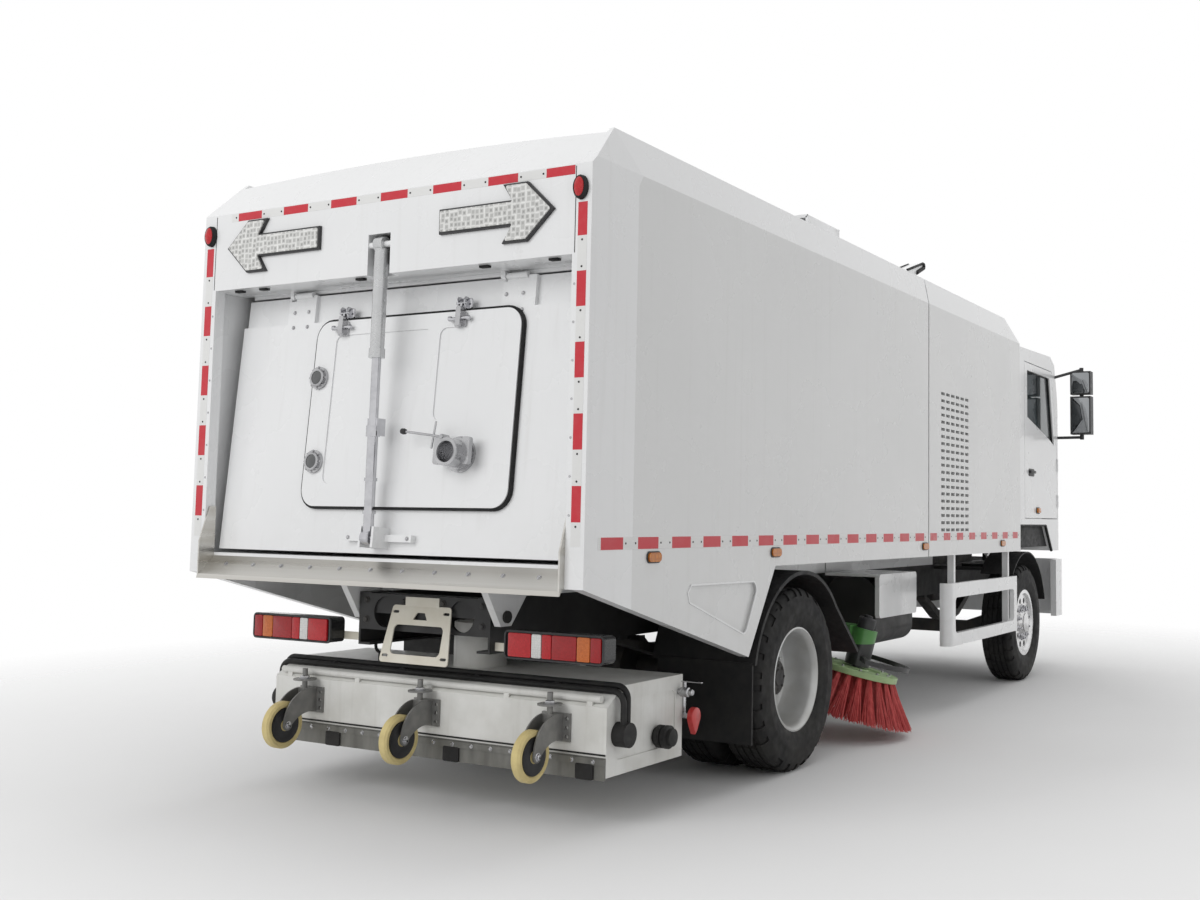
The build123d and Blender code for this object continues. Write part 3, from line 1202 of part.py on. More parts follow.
with BuildPart() as rear_tyres:
    add(turned(tyre_profile(Y_OUT), X_RA, TYRE_R))
    add(turned(tyre_profile(Y_IN), X_RA, TYRE_R))
save_pair(rear_tyres.part, "tyres_rear")

DISC_OFFSET = 95.0
with BuildPart() as rear_rims:
    for y, facing in ((Y_OUT, -1), (Y_IN, 1)):
        add(turned([
            (y - LIP, RIM_R + 12), (y - LIP, RIM_R - RIM_T), (y + LIP, RIM_R - RIM_T),
            (y + LIP, RIM_R + 12), (y + RIM_W / 2, RIM_R), (y - RIM_W / 2, RIM_R),
        ], X_RA, TYRE_R))
        disc = y + facing * DISC_OFFSET
        add(turned([
            (disc - 10, 90), (disc - 10, RIM_R - RIM_T + 6), (disc + 10, RIM_R - RIM_T + 6), (disc + 10, 90),
        ], X_RA, TYRE_R))
    add(turned([
        (Y_IN - 20, HUB_BORE_R + RUN_GAP), (Y_IN - 20, 205), (Y_IN + 90, 205), (Y_OUT - 80, 150),
        (Y_OUT + 60, 110), (Y_OUT + 85, 90), (Y_OUT + 85, 0), (Y_OUT - 23, 0), (Y_OUT - 23, HUB_BORE_R + RUN_GAP),
    ], X_RA, TYRE_R))
    add(hole_ring(
        X_RA, TYRE_R, RIM_R - 72, HAND_HOLE_R, HAND_HOLES, Y_OUT - DISC_OFFSET + 15, Y_OUT - DISC_OFFSET - 15,
    ), mode=Mode.SUBTRACT)
save_pair(rear_rims.part, "rims_rear")

# Side brushes on their arms, each arm with a motor and a guard hoop
lean = Vector(sin(radians(BRUSH_TILT)) * 0.5, sin(radians(BRUSH_TILT)) * 0.866, cos(radians(BRUSH_TILT)))
brush_plane = Plane(origin=(BRUSH_X, BRUSH_Y, BRUSH_Z), x_dir=(0.866, -0.5, 0), z_dir=lean)
PLATE_R = 290.0
TUFT_W = 110.0
TUFT_H = 330.0
with BuildPart() as brush:
    with BuildSketch(brush_plane):
        Circle(PLATE_R)
        Circle(BRUSH_SHAFT_R + RUN_GAP, mode=Mode.SUBTRACT)
    extrude(amount=-40)
    with BuildSketch(brush_plane.offset(-35)):
        Circle(PLATE_R - 5)
        Circle(PLATE_R - 100, mode=Mode.SUBTRACT)
    with BuildSketch(brush_plane.offset(-TUFT_H)):
        Circle(BRUSH_R)
        Circle(BRUSH_R - TUFT_W, mode=Mode.SUBTRACT)
    loft(ruled=True)
save_pair(brush.part, "brush")

MOTOR_H = 250.0
HOOP_R = 335.0
HOOP_T = 15.0
reach = Vector(ARM_X - BRUSH_X, ARM_Y - BRUSH_Y, 0)
hoop_plane = brush_plane.offset(70)
with BuildPart() as arm:
    with BuildSketch(brush_plane.offset(12)):
        Circle(85)
    extrude(amount=MOTOR_H)
    with BuildSketch(brush_plane.offset(-60)):
        Circle(BRUSH_SHAFT_R)
    extrude(amount=80)
    with BuildSketch(Plane(origin=(BRUSH_X, BRUSH_Y, ARM_Z - 5), x_dir=(0, 0, 1), z_dir=reach)):
        Rectangle(80, 100)
    extrude(amount=reach.length)
    with BuildSketch(hoop_plane.offset(-HOOP_T)):
        Circle(HOOP_R + HOOP_T)
        Circle(HOOP_R - HOOP_T, mode=Mode.SUBTRACT)
        with Locations((0, -HOOP_R)):
            Rectangle(4 * HOOP_R, 2 * HOOP_R, mode=Mode.SUBTRACT)
        with Locations((0, HOOP_T)):
            Rectangle(2 * HOOP_R, 2 * HOOP_T)
    extrude(amount=2 * HOOP_T)
    add(upright(ARM_X, ARM_Y, 60, ARM_Z - 65, ARM_Z + 65))
    add(upright(ARM_X, ARM_Y, ARM_PIN_R + RUN_GAP, ARM_Z - 80, ARM_Z + 80), mode=Mode.SUBTRACT)
save_pair(arm.part, "brush_arm")

# Suction nozzle: a hood open below with pressed ends, a spray bar, and sleeves on its guides
NOZZLE = [
    (NOZZLE_X, NOZZLE_BOTTOM), (NOZZLE_X, NOZZLE_BACK_TOP), (NOZZLE_X + SLOPE_X, NOZZLE_TOP),
    (NOZZLE_X + NOZZLE_L, NOZZLE_TOP), (NOZZLE_X + NOZZLE_L, NOZZLE_BOTTOM),
]
NOZZLE_INSIDE = [
    (NOZZLE_X + NOZZLE_WALL, NOZZLE_BOTTOM - 20), (NOZZLE_X + NOZZLE_WALL, NOZZLE_BACK_TOP - 0.6 * NOZZLE_WALL),
    (NOZZLE_X + SLOPE_X + 7, NOZZLE_TOP - NOZZLE_WALL),
    (NOZZLE_X + NOZZLE_L - NOZZLE_WALL, NOZZLE_TOP - NOZZLE_WALL),
    (NOZZLE_X + NOZZLE_L - NOZZLE_WALL, NOZZLE_BOTTOM - 20),
]
NOZZLE_END = [
    (NOZZLE_X + 70, NOZZLE_BOTTOM + 70), (NOZZLE_X + 70, NOZZLE_BACK_TOP - 50),
    (NOZZLE_X + SLOPE_X + 40, NOZZLE_TOP - 70), (NOZZLE_X + NOZZLE_L - 70, NOZZLE_TOP - 70),
    (NOZZLE_X + NOZZLE_L - 70, NOZZLE_BOTTOM + 70),
]
SPOUT_X = NOZZLE_X + 400.0
SPOUT_R = 140.0
SPRAY_R = 17.0
SPRAY_X = NOZZLE_X + 14.0
SPRAY_Z = NOZZLE_BACK_TOP + 36.0
CLIP_INSET = 100.0
CLIP_Y = [share * (NOZZLE_HALF - CLIP_INSET) / 2 for share in (-2, -1, 0, 1, 2)]
with BuildPart() as nozzle:
    add(across(NOZZLE, NOZZLE_HALF))
    add(upright(SPOUT_X, 0, SPOUT_R, NOZZLE_TOP - 5, NOZZLE_TOP + 230))
    add(across(NOZZLE_INSIDE, NOZZLE_HALF - NOZZLE_WALL), mode=Mode.SUBTRACT)
    add(upright(SPOUT_X, 0, SPOUT_R - NOZZLE_WALL, NOZZLE_BOTTOM + 160, NOZZLE_TOP + 250), mode=Mode.SUBTRACT)
    add(side_plate(NOZZLE_END, NOZZLE_HALF + 10, 17, rounding=40), mode=Mode.SUBTRACT)
    add(side_plate(NOZZLE_END, -NOZZLE_HALF + 7, 17, rounding=40), mode=Mode.SUBTRACT)
    add(along_y(SPRAY_X, SPRAY_Z, SPRAY_R, NOZZLE_HALF - 40, 40 - NOZZLE_HALF))
    for y in CLIP_Y:
        add(block(SPRAY_X - 12, SPRAY_X + 34, y - 16, y + 16, NOZZLE_BACK_TOP - 2, SPRAY_Z - 4))
    for y in (-GUIDE_Y, GUIDE_Y):
        add(upright(GUIDE_X, y, 40, NOZZLE_TOP - 150, NOZZLE_TOP))
        add(block(NOZZLE_X + NOZZLE_L - 5, GUIDE_X, y - 30, y + 30, NOZZLE_TOP - 150, NOZZLE_TOP))
        add(upright(GUIDE_X, y, GUIDE_R + RUN_GAP, NOZZLE_TOP - 160, NOZZLE_TOP + 10), mode=Mode.SUBTRACT)
save(nozzle.part, "nozzle")

# Skirt: a strip with rubber patches along the hood's lower rear edge
SKIRT_TOP = NOZZLE_BOTTOM + 92.0
with BuildPart() as nozzle_skirt:
    add(block(
        NOZZLE_X - 10, NOZZLE_X - SEAT_GAP, -NOZZLE_HALF, NOZZLE_HALF, NOZZLE_BOTTOM - 12, SKIRT_TOP,
    ))
    add(block(NOZZLE_X - 18, NOZZLE_X - 9, -NOZZLE_HALF, NOZZLE_HALF, SKIRT_TOP - 34, SKIRT_TOP - 4))
save(nozzle_skirt.part, "nozzle_skirt")

# Hoses laid on the hood's slope, ending in a motor on each end plate
HOSE_R = 15.0
HOSE_BEND = 60.0
MOTOR_X = NOZZLE_X + 150.0
MOTOR_Z = NOZZLE_BOTTOM + 190.0
SLOPE = SLOPE_Z / SLOPE_X
HOSE_X = (NOZZLE_X + 78.0, NOZZLE_X + 112.0)
END_Y = NOZZLE_HALF + 42.0
with BuildPart() as hoses:
    for x in HOSE_X:
        z = NOZZLE_BACK_TOP + SLOPE * (x - NOZZLE_X) + HOSE_R * 1.25
        with BuildLine(Plane.YZ.offset(x)) as run:
            FilletPolyline(
                (-END_Y, MOTOR_Z), (-END_Y, z), (END_Y, z), (END_Y, MOTOR_Z), radius=HOSE_BEND,
            )
        with BuildSketch(Plane(origin=(x, -END_Y, MOTOR_Z), z_dir=(0, 0, 1))):
            Circle(HOSE_R)
        sweep(path=run.wires()[0])
    for side in (-1, 1):
        add(along_y(
            MOTOR_X - 55, MOTOR_Z, 58, max(side * (NOZZLE_HALF + SEAT_GAP), side * (END_Y + 28)),
            min(side * (NOZZLE_HALF + SEAT_GAP), side * (END_Y + 28)),
        ))
    for y in (-735, -245, 245, 735):
        add(block(HOSE_X[0] - 4, HOSE_X[1] + 4, y - 14, y + 14,
                  NOZZLE_BACK_TOP + SLOPE * SLOPE_X * 0.75, NOZZLE_BACK_TOP + SLOPE * SLOPE_X * 0.75 + 20))
    add(across(NOZZLE, NOZZLE_HALF), mode=Mode.SUBTRACT)
save(hoses.part, "nozzle_hoses")

# Castors: curved fork plates, a drilled bracket, a height screw and the wheels
FORK_TOP = NOZZLE_BOTTOM + 280.0
FORK_END_R = 28.0
FORK_T = 8.0
SCREW_X = NOZZLE_X - 62.0


def fork_plate(y_outer):
    """One curved fork plate with its outer face at y_outer."""
    with BuildPart() as plate:
        with BuildSketch(Plane.XZ.offset(-y_outer)):
            with BuildLine():
                Polyline(
                    (NOZZLE_X - SEAT_GAP, FORK_TOP - 130), (NOZZLE_X - SEAT_GAP, FORK_TOP), (SCREW_X - 12, FORK_TOP),
                )
                ThreePointArc(
                    (SCREW_X - 12, FORK_TOP), (CASTOR_X + 12, CASTOR_Z + 112), (CASTOR_X - FORK_END_R, CASTOR_Z),
                )
                ThreePointArc(
                    (CASTOR_X - FORK_END_R, CASTOR_Z), (CASTOR_X, CASTOR_Z - FORK_END_R),
                    (CASTOR_X + FORK_END_R, CASTOR_Z),
                )
                ThreePointArc(
                    (CASTOR_X + FORK_END_R, CASTOR_Z), (CASTOR_X + 88, CASTOR_Z + 42),
                    (NOZZLE_X - SEAT_GAP, FORK_TOP - 130),
                )
            make_face()
        extrude(amount=FORK_T)
    return plate.part


CASTOR_Y = (-CASTOR_PITCH, 0.0, CASTOR_PITCH)
FORK_HALF = CASTOR_W / 2 + 16.0
BRACKET_HOLES = (24.0, 66.0, 108.0)
with BuildPart() as forks:
    for y in CASTOR_Y:
        add(fork_plate(y + FORK_HALF))
        add(fork_plate(y - FORK_HALF + FORK_T))
        add(block(SCREW_X - 14, NOZZLE_X - SEAT_GAP, y - FORK_HALF, y + FORK_HALF, FORK_TOP - 40, FORK_TOP))
        add(block(NOZZLE_X - 14, NOZZLE_X - SEAT_GAP, y - 82, y + 82, FORK_TOP - 132, FORK_TOP))
        for dy in (-64, 64):
            for drop in BRACKET_HOLES:
                add(along_x(y + dy, FORK_TOP - drop, 10, NOZZLE_X - 20, NOZZLE_X), mode=Mode.SUBTRACT)
        add(along_y(CASTOR_X, CASTOR_Z, CASTOR_PIN_R, y + FORK_HALF + 8, y - FORK_HALF - 8))
        add(upright(SCREW_X, y, 14, FORK_TOP - 5, FORK_TOP + 100))
        add(upright(SCREW_X, y, 60, FORK_TOP + 40, FORK_TOP + 48))
save(forks.part, "castor_forks")

CASTOR_NAMES = ("right", "middle", "left")
for y, place in zip(CASTOR_Y, CASTOR_NAMES):
    w = CASTOR_W / 2
    with BuildPart() as castor:
        add(turned([
            (y - w, CASTOR_PIN_R + RUN_GAP), (y - w, 30), (y - w + 10, 40), (y - w + 10, CASTOR_R - 35),
            (y - w, CASTOR_R - 25), (y - w, CASTOR_R - 10), (y - w + 10, CASTOR_R), (y + w - 10, CASTOR_R),
            (y + w, CASTOR_R - 10), (y + w, CASTOR_R - 25), (y + w - 10, CASTOR_R - 35), (y + w - 10, 40),
            (y + w, 30), (y + w, CASTOR_PIN_R + RUN_GAP),
        ], CASTOR_X, CASTOR_Z))
    save(castor.part, f"castor_wheel_{place}")
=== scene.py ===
"""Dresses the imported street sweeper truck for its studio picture, in metres, in the frame of the solids."""
from __future__ import annotations

import logging
import math
import random
from dataclasses import dataclass, field
from enum import Enum
from typing import Callable, Iterable, Sequence

import bpy
from mathutils import Matrix, Vector

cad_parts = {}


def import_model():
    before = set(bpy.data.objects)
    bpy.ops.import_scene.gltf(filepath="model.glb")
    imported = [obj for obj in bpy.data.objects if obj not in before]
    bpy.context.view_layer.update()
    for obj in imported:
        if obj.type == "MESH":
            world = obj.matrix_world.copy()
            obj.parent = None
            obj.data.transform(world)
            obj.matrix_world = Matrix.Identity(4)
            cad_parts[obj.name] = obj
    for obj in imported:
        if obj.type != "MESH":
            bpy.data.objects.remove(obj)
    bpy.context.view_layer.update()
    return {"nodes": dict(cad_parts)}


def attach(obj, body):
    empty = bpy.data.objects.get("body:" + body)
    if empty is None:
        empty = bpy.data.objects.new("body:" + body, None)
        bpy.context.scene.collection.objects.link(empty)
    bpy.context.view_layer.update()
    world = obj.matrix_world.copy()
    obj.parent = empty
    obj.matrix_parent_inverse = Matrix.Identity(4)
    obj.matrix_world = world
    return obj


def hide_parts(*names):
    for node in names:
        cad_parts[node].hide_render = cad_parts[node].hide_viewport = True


LOG = logging.getLogger("sweeper")
Triple = tuple[float, float, float]
Pair = tuple[float, float]
Piece = bpy.types.Object
Socket = bpy.types.NodeSocket

X_REAR = -4.310
HALF = 1.250
X_HOPPER_FRONT = 0.050
X_CAB_REAR = 2.540
X_CAB_FRONT = 4.280
CAB_HALF = 1.190
REAR_AXLE = Vector((-2.070, 0.0, 0.522))
FRONT_AXLE = Vector((2.930, 0.0, 0.522))
NOZZLE_X = -3.850
BELT = 2.110
DUST: Triple = (0.36, 0.33, 0.28)
GRIME: Triple = (0.42, 0.40, 0.36)
MIX_LOW = 6
MIX_HIGH = 7
MIX_RESULT = 2


class Side(Enum):
    """The two sides of the truck."""

    LEFT = 1
    RIGHT = -1

    @property
    def word(self) -> str:
        """The side's name as the bodies use it."""
        return self.name.lower()


class Nodes:
    """Short calls for building one material's node tree."""

    def __init__(self, name: str) -> None:
        """Start a material with a shader on its output.

        Args:
            name: The material's name.
        """
        self.material = bpy.data.materials.new(name)
        self.material.use_nodes = True
        self.tree = self.material.node_tree
        self.tree.nodes.clear()
        output = self.add("ShaderNodeOutputMaterial")
        self.shader = self.add("ShaderNodeBsdfPrincipled")
        self.tree.links.new(self.shader.outputs["BSDF"], output.inputs["Surface"])
        self.coords = self.add("ShaderNodeTexCoord").outputs["Object"]

    def add(self, kind: str, **settings: object) -> bpy.types.Node:
        """Add a node and set its own options."""
        node = self.tree.nodes.new(kind)
        for key, value in settings.items():
            setattr(node, key, value)
        return node

    def link(self, source: Socket, target: Socket) -> None:
        """Join two sockets."""
        self.tree.links.new(source, target)

    def feed(self, target: Socket, value: object) -> None:
        """Join a socket to an input, or set the input to a plain value."""
        if isinstance(value, Socket):
            self.link(value, target)
        else:
            target.default_value = value

    def tune(self, values: dict[str, float]) -> None:
        """Set plain inputs of the shader."""
        for key, value in values.items():
            self.shader.inputs[key].default_value = value

    def mapped(self, scale: Triple = (1, 1, 1), at: Triple = (0, 0, 0)) -> Socket:
        """Object coordinates, moved and stretched.

        Args:
            scale: Stretch on each axis.
            at: The point that becomes the pattern's middle.

        Returns:
            The mapped coordinates.
        """
        node = self.add("ShaderNodeMapping")
        node.inputs["Scale"].default_value = scale
        node.inputs["Location"].default_value = tuple(-a * s for a, s in zip(at, scale))
        self.link(self.coords, node.inputs["Vector"])
        return node.outputs["Vector"]

    def noise(self, scale: float, detail: float = 4.0, stretch: Triple = (1, 1, 1)) -> Socket:
        """Noise from 0 to 1 on object coordinates.

        Args:
            scale: Waves in a metre.
            detail: Octaves of finer noise.
            stretch: Extra scale on each axis.

        Returns:
            The noise value.
        """
        node = self.add("ShaderNodeTexNoise")
        node.inputs["Scale"].default_value = scale
        node.inputs["Detail"].default_value = detail
        self.link(self.mapped(stretch), node.inputs["Vector"])
        return node.outputs["Fac"]

    def axis(self, index: int) -> Socket:
        """One object coordinate: 0 for X, 1 for Y, 2 for Z."""
        node = self.add("ShaderNodeSeparateXYZ")
        self.link(self.coords, node.inputs["Vector"])
        return node.outputs[index]

    def math(self, kind: str, first: object, second: object = 0.0) -> Socket:
        """A sum on sockets or numbers.

        Args:
            kind: The operation's name.
            first: A socket or a number.
            second: A socket or a number.

        Returns:
            The result.
        """
        node = self.add("ShaderNodeMath", operation=kind)
        self.feed(node.inputs[0], first)
        self.feed(node.inputs[1], second)
        return node.outputs["Value"]

    def blend(self, factor: Socket, low: object, high: object) -> Socket:
        """Mix two colours by a factor.

        Args:
            factor: 0 gives the low colour and 1 the high one.
            low: A colour or a socket.
            high: A colour or a socket.

        Returns:
            The mixed colour.
        """
        node = self.add("ShaderNodeMix", data_type="RGBA")
        self.link(factor, node.inputs[0])
        for slot, value in ((MIX_LOW, low), (MIX_HIGH, high)):
            self.feed(node.inputs[slot], value if isinstance(value, Socket) else (*value, 1.0))
        return node.outputs[MIX_RESULT]

    def span(self, value: Socket, source: Pair, target: Pair = (0.0, 1.0)) -> Socket:
        """Stretch a value from one range to another, clamped.

        Args:
            value: The value to stretch.
            source: The range that it comes from.
            target: The range that it goes to.

        Returns:
            The stretched value.
        """
        node = self.add("ShaderNodeMapRange")
        self.link(value, node.inputs["Value"])
        for key, number in zip(("From Min", "From Max", "To Min", "To Max"), (*source, *target)):
            node.inputs[key].default_value = number
        return node.outputs["Result"]

    def bump(self, height: Socket, strength: float, distance: float = 0.002) -> None:
        """Raise the surface by a height value."""
        node = self.add("ShaderNodeBump")
        node.inputs["Strength"].default_value = strength
        node.inputs["Distance"].default_value = distance
        self.link(height, node.inputs["Height"])
        self.link(node.outputs["Normal"], self.shader.inputs["Normal"])


@dataclass(frozen=True)
class Finish:
    """A surface whose colour drifts between two shades, with its own gloss and grain.

    Its slot is not used.
    """

    name: str
    color: Triple
    shade: Triple
    rough: Pair
    metallic: float = 0.0
    coat: float = 0.0
    drift: float = 6.0
    grain: float = 300.0
    relief: float = 0.06
    stretch: Triple = (1.0, 1.0, 1.0)
    dust: float = 0.0
    gleam: float = 0.5
    slot: str = "steel"

    def make(self) -> bpy.types.Material:
        """Build the node material.

        Returns:
            The material.
        """
        nodes = Nodes(self.name)
        nodes.tune({"Metallic": self.metallic, "Specular IOR Level": self.gleam, "Coat Weight": self.coat,
                    "Coat Roughness": 0.12})
        color = self.paint(nodes)
        if self.dust:
            low = nodes.span(nodes.axis(2), (0.15, 1.25), (self.dust, 0.0))
            patchy = nodes.math("MULTIPLY", low, nodes.span(nodes.noise(5.0, 6.0), (0.35, 0.7), (0.2, 1.0)))
            color = nodes.blend(patchy, color, DUST)
        nodes.link(color, nodes.shader.inputs["Base Color"])
        worn = nodes.noise(self.drift * 2.3, 5.0, self.stretch)
        nodes.link(nodes.span(worn, (0.3, 0.7), self.rough), nodes.shader.inputs["Roughness"])
        nodes.bump(self.height(nodes), self.relief)
        self.more(nodes)
        return nodes.material

    def paint(self, nodes: Nodes) -> Socket:
        """The base colour."""
        spread = nodes.span(nodes.noise(self.drift, 6.0, self.stretch), (0.35, 0.68))
        return nodes.blend(spread, self.color, self.shade)

    def height(self, nodes: Nodes) -> Socket:
        """The fine grain that the bump reads."""
        return nodes.noise(self.grain, 3.0, self.stretch)

    def more(self, nodes: Nodes) -> None:
        """Nothing more on a plain finish."""


@dataclass(frozen=True)
class Coachpaint(Finish):
    """Gloss body paint with faint rain streaks and a grey film low down."""

    rough: Pair = (0.22, 0.34)
    coat: float = 0.5
    drift: float = 0.9
    grain: float = 420.0
    relief: float = 0.025
    slot: str = "white_paint"
    streak: float = 0.10

    def paint(self, nodes: Nodes) -> Socket:
        """White with thin streaks that run down the panels."""
        base = super().paint(nodes)
        lines = nodes.noise(1.0, 5.0, (26.0, 26.0, 0.9))
        amount = nodes.span(lines, (0.56, 0.8), (0.0, self.streak))
        film = nodes.span(nodes.axis(2), (0.4, 1.6), (0.13, 0.0))
        speck = nodes.math("MULTIPLY", film, nodes.span(nodes.noise(9.0, 7.0), (0.4, 0.72)))
        return nodes.blend(nodes.math("ADD", amount, speck), base, GRIME)


@dataclass(frozen=True)
class FoldPaintedLight(Coachpaint):
    """Panel paint with painted light: it turns lighter above the shoulder fold, where the band would be lit
    more.
    """

    fold: float = 3.046
    # upper is painted light: the lighter colour above the fold
    upper: Triple = (0.86, 0.865, 0.87)

    def paint(self, nodes: Nodes) -> Socket:
        """Painted light above the fold's height, over the panel colour below it."""
        base = super().paint(nodes)
        return nodes.blend(nodes.math("GREATER_THAN", nodes.axis(2), self.fold), base, self.upper)


@dataclass(frozen=True)
class Tape(Finish):
    """Reflective tape in red and white bands along one axis, on a fine honeycomb."""

    color: Triple = (0.56, 0.024, 0.040)
    shade: Triple = (0.76, 0.76, 0.75)
    rough: Pair = (0.28, 0.4)
    grain: float = 240.0
    relief: float = 0.12
    slot: str = "red_lamp"
    along: int = 0
    start: float = 0.0
    period: float = 0.3
    red_part: float = 0.6
    faded: float = 0.0

    def paint(self, nodes: Nodes) -> Socket:
        """Bands that repeat along the tape."""
        place = nodes.math("DIVIDE", nodes.math("SUBTRACT", nodes.axis(self.along), self.start), self.period)
        turn = nodes.math("FRACT", place)
        band = nodes.math("LESS_THAN", turn, self.red_part)
        worn = nodes.span(nodes.noise(30.0, 5.0), (0.45, 0.75), (0.0, 0.06 + self.faded))
        red = nodes.blend(worn, self.color, (0.62, 0.30, 0.30))
        return nodes.blend(band, self.shade, red)

    def height(self, nodes: Nodes) -> Socket:
        """Cells of the reflective layer."""
        cells = nodes.add("ShaderNodeTexVoronoi", feature="DISTANCE_TO_EDGE")
        cells.inputs["Scale"].default_value = self.grain
        nodes.link(nodes.coords, cells.inputs["Vector"])
        return cells.outputs["Distance"]


@dataclass(frozen=True)
class Lens(Finish):
    """A moulded lens with small prisms under a clear face, with painted light and shade on the prisms."""

    rough: Pair = (0.08, 0.16)
    grain: float = 120.0
    relief: float = 0.3
    slot: str = "red_lamp"

    def facet(self, nodes: Nodes) -> Socket:
        """How far each spot sits from its prism's middle, from 0 to 1, which mixes the prisms' painted light
        and shade.
        """
        return nodes.span(self.height(nodes), (0.1, 0.6))

    def paint(self, nodes: Nodes) -> Socket:
        """Painted light and shade on the prisms."""
        return nodes.blend(self.facet(nodes), self.color, self.shade)

    def height(self, nodes: Nodes) -> Socket:
        """Facets of the prisms."""
        cells = nodes.add("ShaderNodeTexVoronoi", feature="F1", distance="CHEBYCHEV")
        cells.inputs["Scale"].default_value = self.grain
        cells.inputs["Randomness"].default_value = 0.35
        nodes.link(nodes.mapped(self.stretch), cells.inputs["Vector"])
        return cells.outputs["Distance"]

    def more(self, nodes: Nodes) -> None:
        """A clear coat over the prisms."""
        nodes.tune({"Coat Weight": 0.35, "Coat Roughness": 0.03, "Specular IOR Level": 0.3, "IOR": 1.49})


@dataclass(frozen=True)
class Zoned(Lens):
    """Lamps of one node told apart by where they sit.

    Each zone is an axis, whether the place is measured from the middle, a limit, and the colours past it,
    mixed as painted light and shade on the prisms.
    """

    zones: tuple[tuple[int, bool, float, Triple, Triple], ...] = ()

    def paint(self, nodes: Nodes) -> Socket:
        """The lens colour of each place, with painted light and shade on its prisms."""
        facet = self.facet(nodes)
        color = nodes.blend(facet, self.color, self.shade)
        for axis, outward, limit, light, dark in self.zones:
            place = nodes.axis(axis)
            if outward:
                place = nodes.math("ABSOLUTE", place)
            inside = nodes.math("GREATER_THAN" if limit > 0 else "LESS_THAN", place, limit)
            color = nodes.blend(inside, color, nodes.blend(facet, light, dark))
        return color


@dataclass(frozen=True)
class Stepped(Finish):
    """A finish that changes to a second colour below a height."""

    height_m: float = 0.0
    other: Triple = (0.02, 0.02, 0.02)

    def paint(self, nodes: Nodes) -> Socket:
        """Two colours told apart by height."""
        base = super().paint(nodes)
        past = nodes.math("LESS_THAN", nodes.axis(2), self.height_m)
        return nodes.blend(past, base, self.other)


@dataclass(frozen=True)
class Weave(Finish):
    """Woven seat cloth with crossing threads."""

    def height(self, nodes: Nodes) -> Socket:
        """Threads that cross at right angles."""
        rows = []
        for bands in ("X", "Z"):
            wave = nodes.add("ShaderNodeTexWave", bands_direction=bands)
            wave.inputs["Scale"].default_value = self.grain
            nodes.link(nodes.coords, wave.inputs["Vector"])
            rows.append(wave.outputs["Fac"])
        return nodes.math("MULTIPLY", rows[0], rows[1])

    def more(self, nodes: Nodes) -> None:
        """A soft sheen."""
        nodes.tune({"Sheen Weight": 0.4})


@dataclass(frozen=True)
class Pane(Finish):
    """Tinted glass with faint smears."""

    clear: float = 0.85

    def more(self, nodes: Nodes) -> None:
        """Let light through."""
        nodes.tune({"Transmission Weight": self.clear, "IOR": 1.45})


WHITE = Coachpaint("white_coachpaint", (0.84, 0.845, 0.85), (0.80, 0.805, 0.81))
# The sides' greyer white is painted shade, and the lighter band above the fold is painted light.
SIDE_PAINTED_SHADING = FoldPaintedLight("side_panel_paint", (0.73, 0.733, 0.73), (0.70, 0.703, 0.70))
NOZZLE_WHITE = Coachpaint("worn_white_paint", (0.80, 0.80, 0.775), (0.71, 0.71, 0.68), (0.35, 0.55), coat=0.2,
                          drift=5.0, grain=260.0, relief=0.05, streak=0.2, dust=0.22)
CREAM_PAINT = Finish("cream_paint", (0.74, 0.71, 0.62), (0.66, 0.62, 0.52), (0.4, 0.55), coat=0.2, drift=8.0)
BLACK = Finish("chassis_black", (0.014, 0.014, 0.015), (0.024, 0.024, 0.024), (0.40, 0.62), coat=0.1,
               drift=4.0, grain=220.0, relief=0.08, dust=0.07, gleam=0.35)
IRON = Finish("dark_cast_iron", (0.038, 0.038, 0.040), (0.065, 0.061, 0.055), (0.5, 0.75), metallic=0.4,
              drift=9.0, grain=160.0, relief=0.25, dust=0.10)
STEEL = Finish("brushed_stainless", (0.62, 0.61, 0.58), (0.50, 0.48, 0.44), (0.24, 0.40), metallic=1.0,
               drift=3.0, grain=60.0, relief=0.05, stretch=(1.0, 0.04, 6.0))
BRIGHT = Finish("plated_steel", (0.50, 0.50, 0.51), (0.40, 0.40, 0.41), (0.16, 0.30), metallic=1.0,
                drift=14.0, grain=120.0, relief=0.03)
CHROME = Finish("hard_chrome", (0.55, 0.55, 0.57), (0.46, 0.46, 0.48), (0.06, 0.13), metallic=1.0, drift=20.0,
                grain=500.0, relief=0.01, slot="chrome")
BARREL = Finish("barrel_grey", (0.58, 0.585, 0.59), (0.52, 0.525, 0.53), (0.2, 0.32), metallic=0.55, coat=0.3,
                drift=8.0, relief=0.03)
ALLOY = Finish("polished_alloy", (0.70, 0.70, 0.71), (0.60, 0.60, 0.60), (0.16, 0.30), metallic=1.0,
               drift=12.0, grain=80.0, relief=0.04, dust=0.15, slot="alloy")
RIM_STEEL = Finish("silver_rim_paint", (0.56, 0.57, 0.57), (0.46, 0.46, 0.45), (0.34, 0.5), metallic=0.5,
                   coat=0.2, drift=7.0, relief=0.04, dust=0.3)
GALVANISED = Finish("galvanised_sheet", (0.21, 0.21, 0.195), (0.13, 0.13, 0.12), (0.4, 0.62), metallic=0.5,
                    drift=14.0, grain=90.0, relief=0.08, stretch=(1.0, 1.0, 0.25), dust=0.12)
TYRE = Finish("tyre_rubber", (0.012, 0.012, 0.013), (0.021, 0.021, 0.021), (0.6, 0.85), drift=10.0,
              grain=380.0, relief=0.12, dust=0.05, gleam=0.22, slot="tyre")
RUBBER = Finish("black_rubber", (0.012, 0.012, 0.013), (0.020, 0.020, 0.020), (0.45, 0.7), drift=12.0,
                grain=420.0, relief=0.10, dust=0.04, gleam=0.25, slot="rubber")
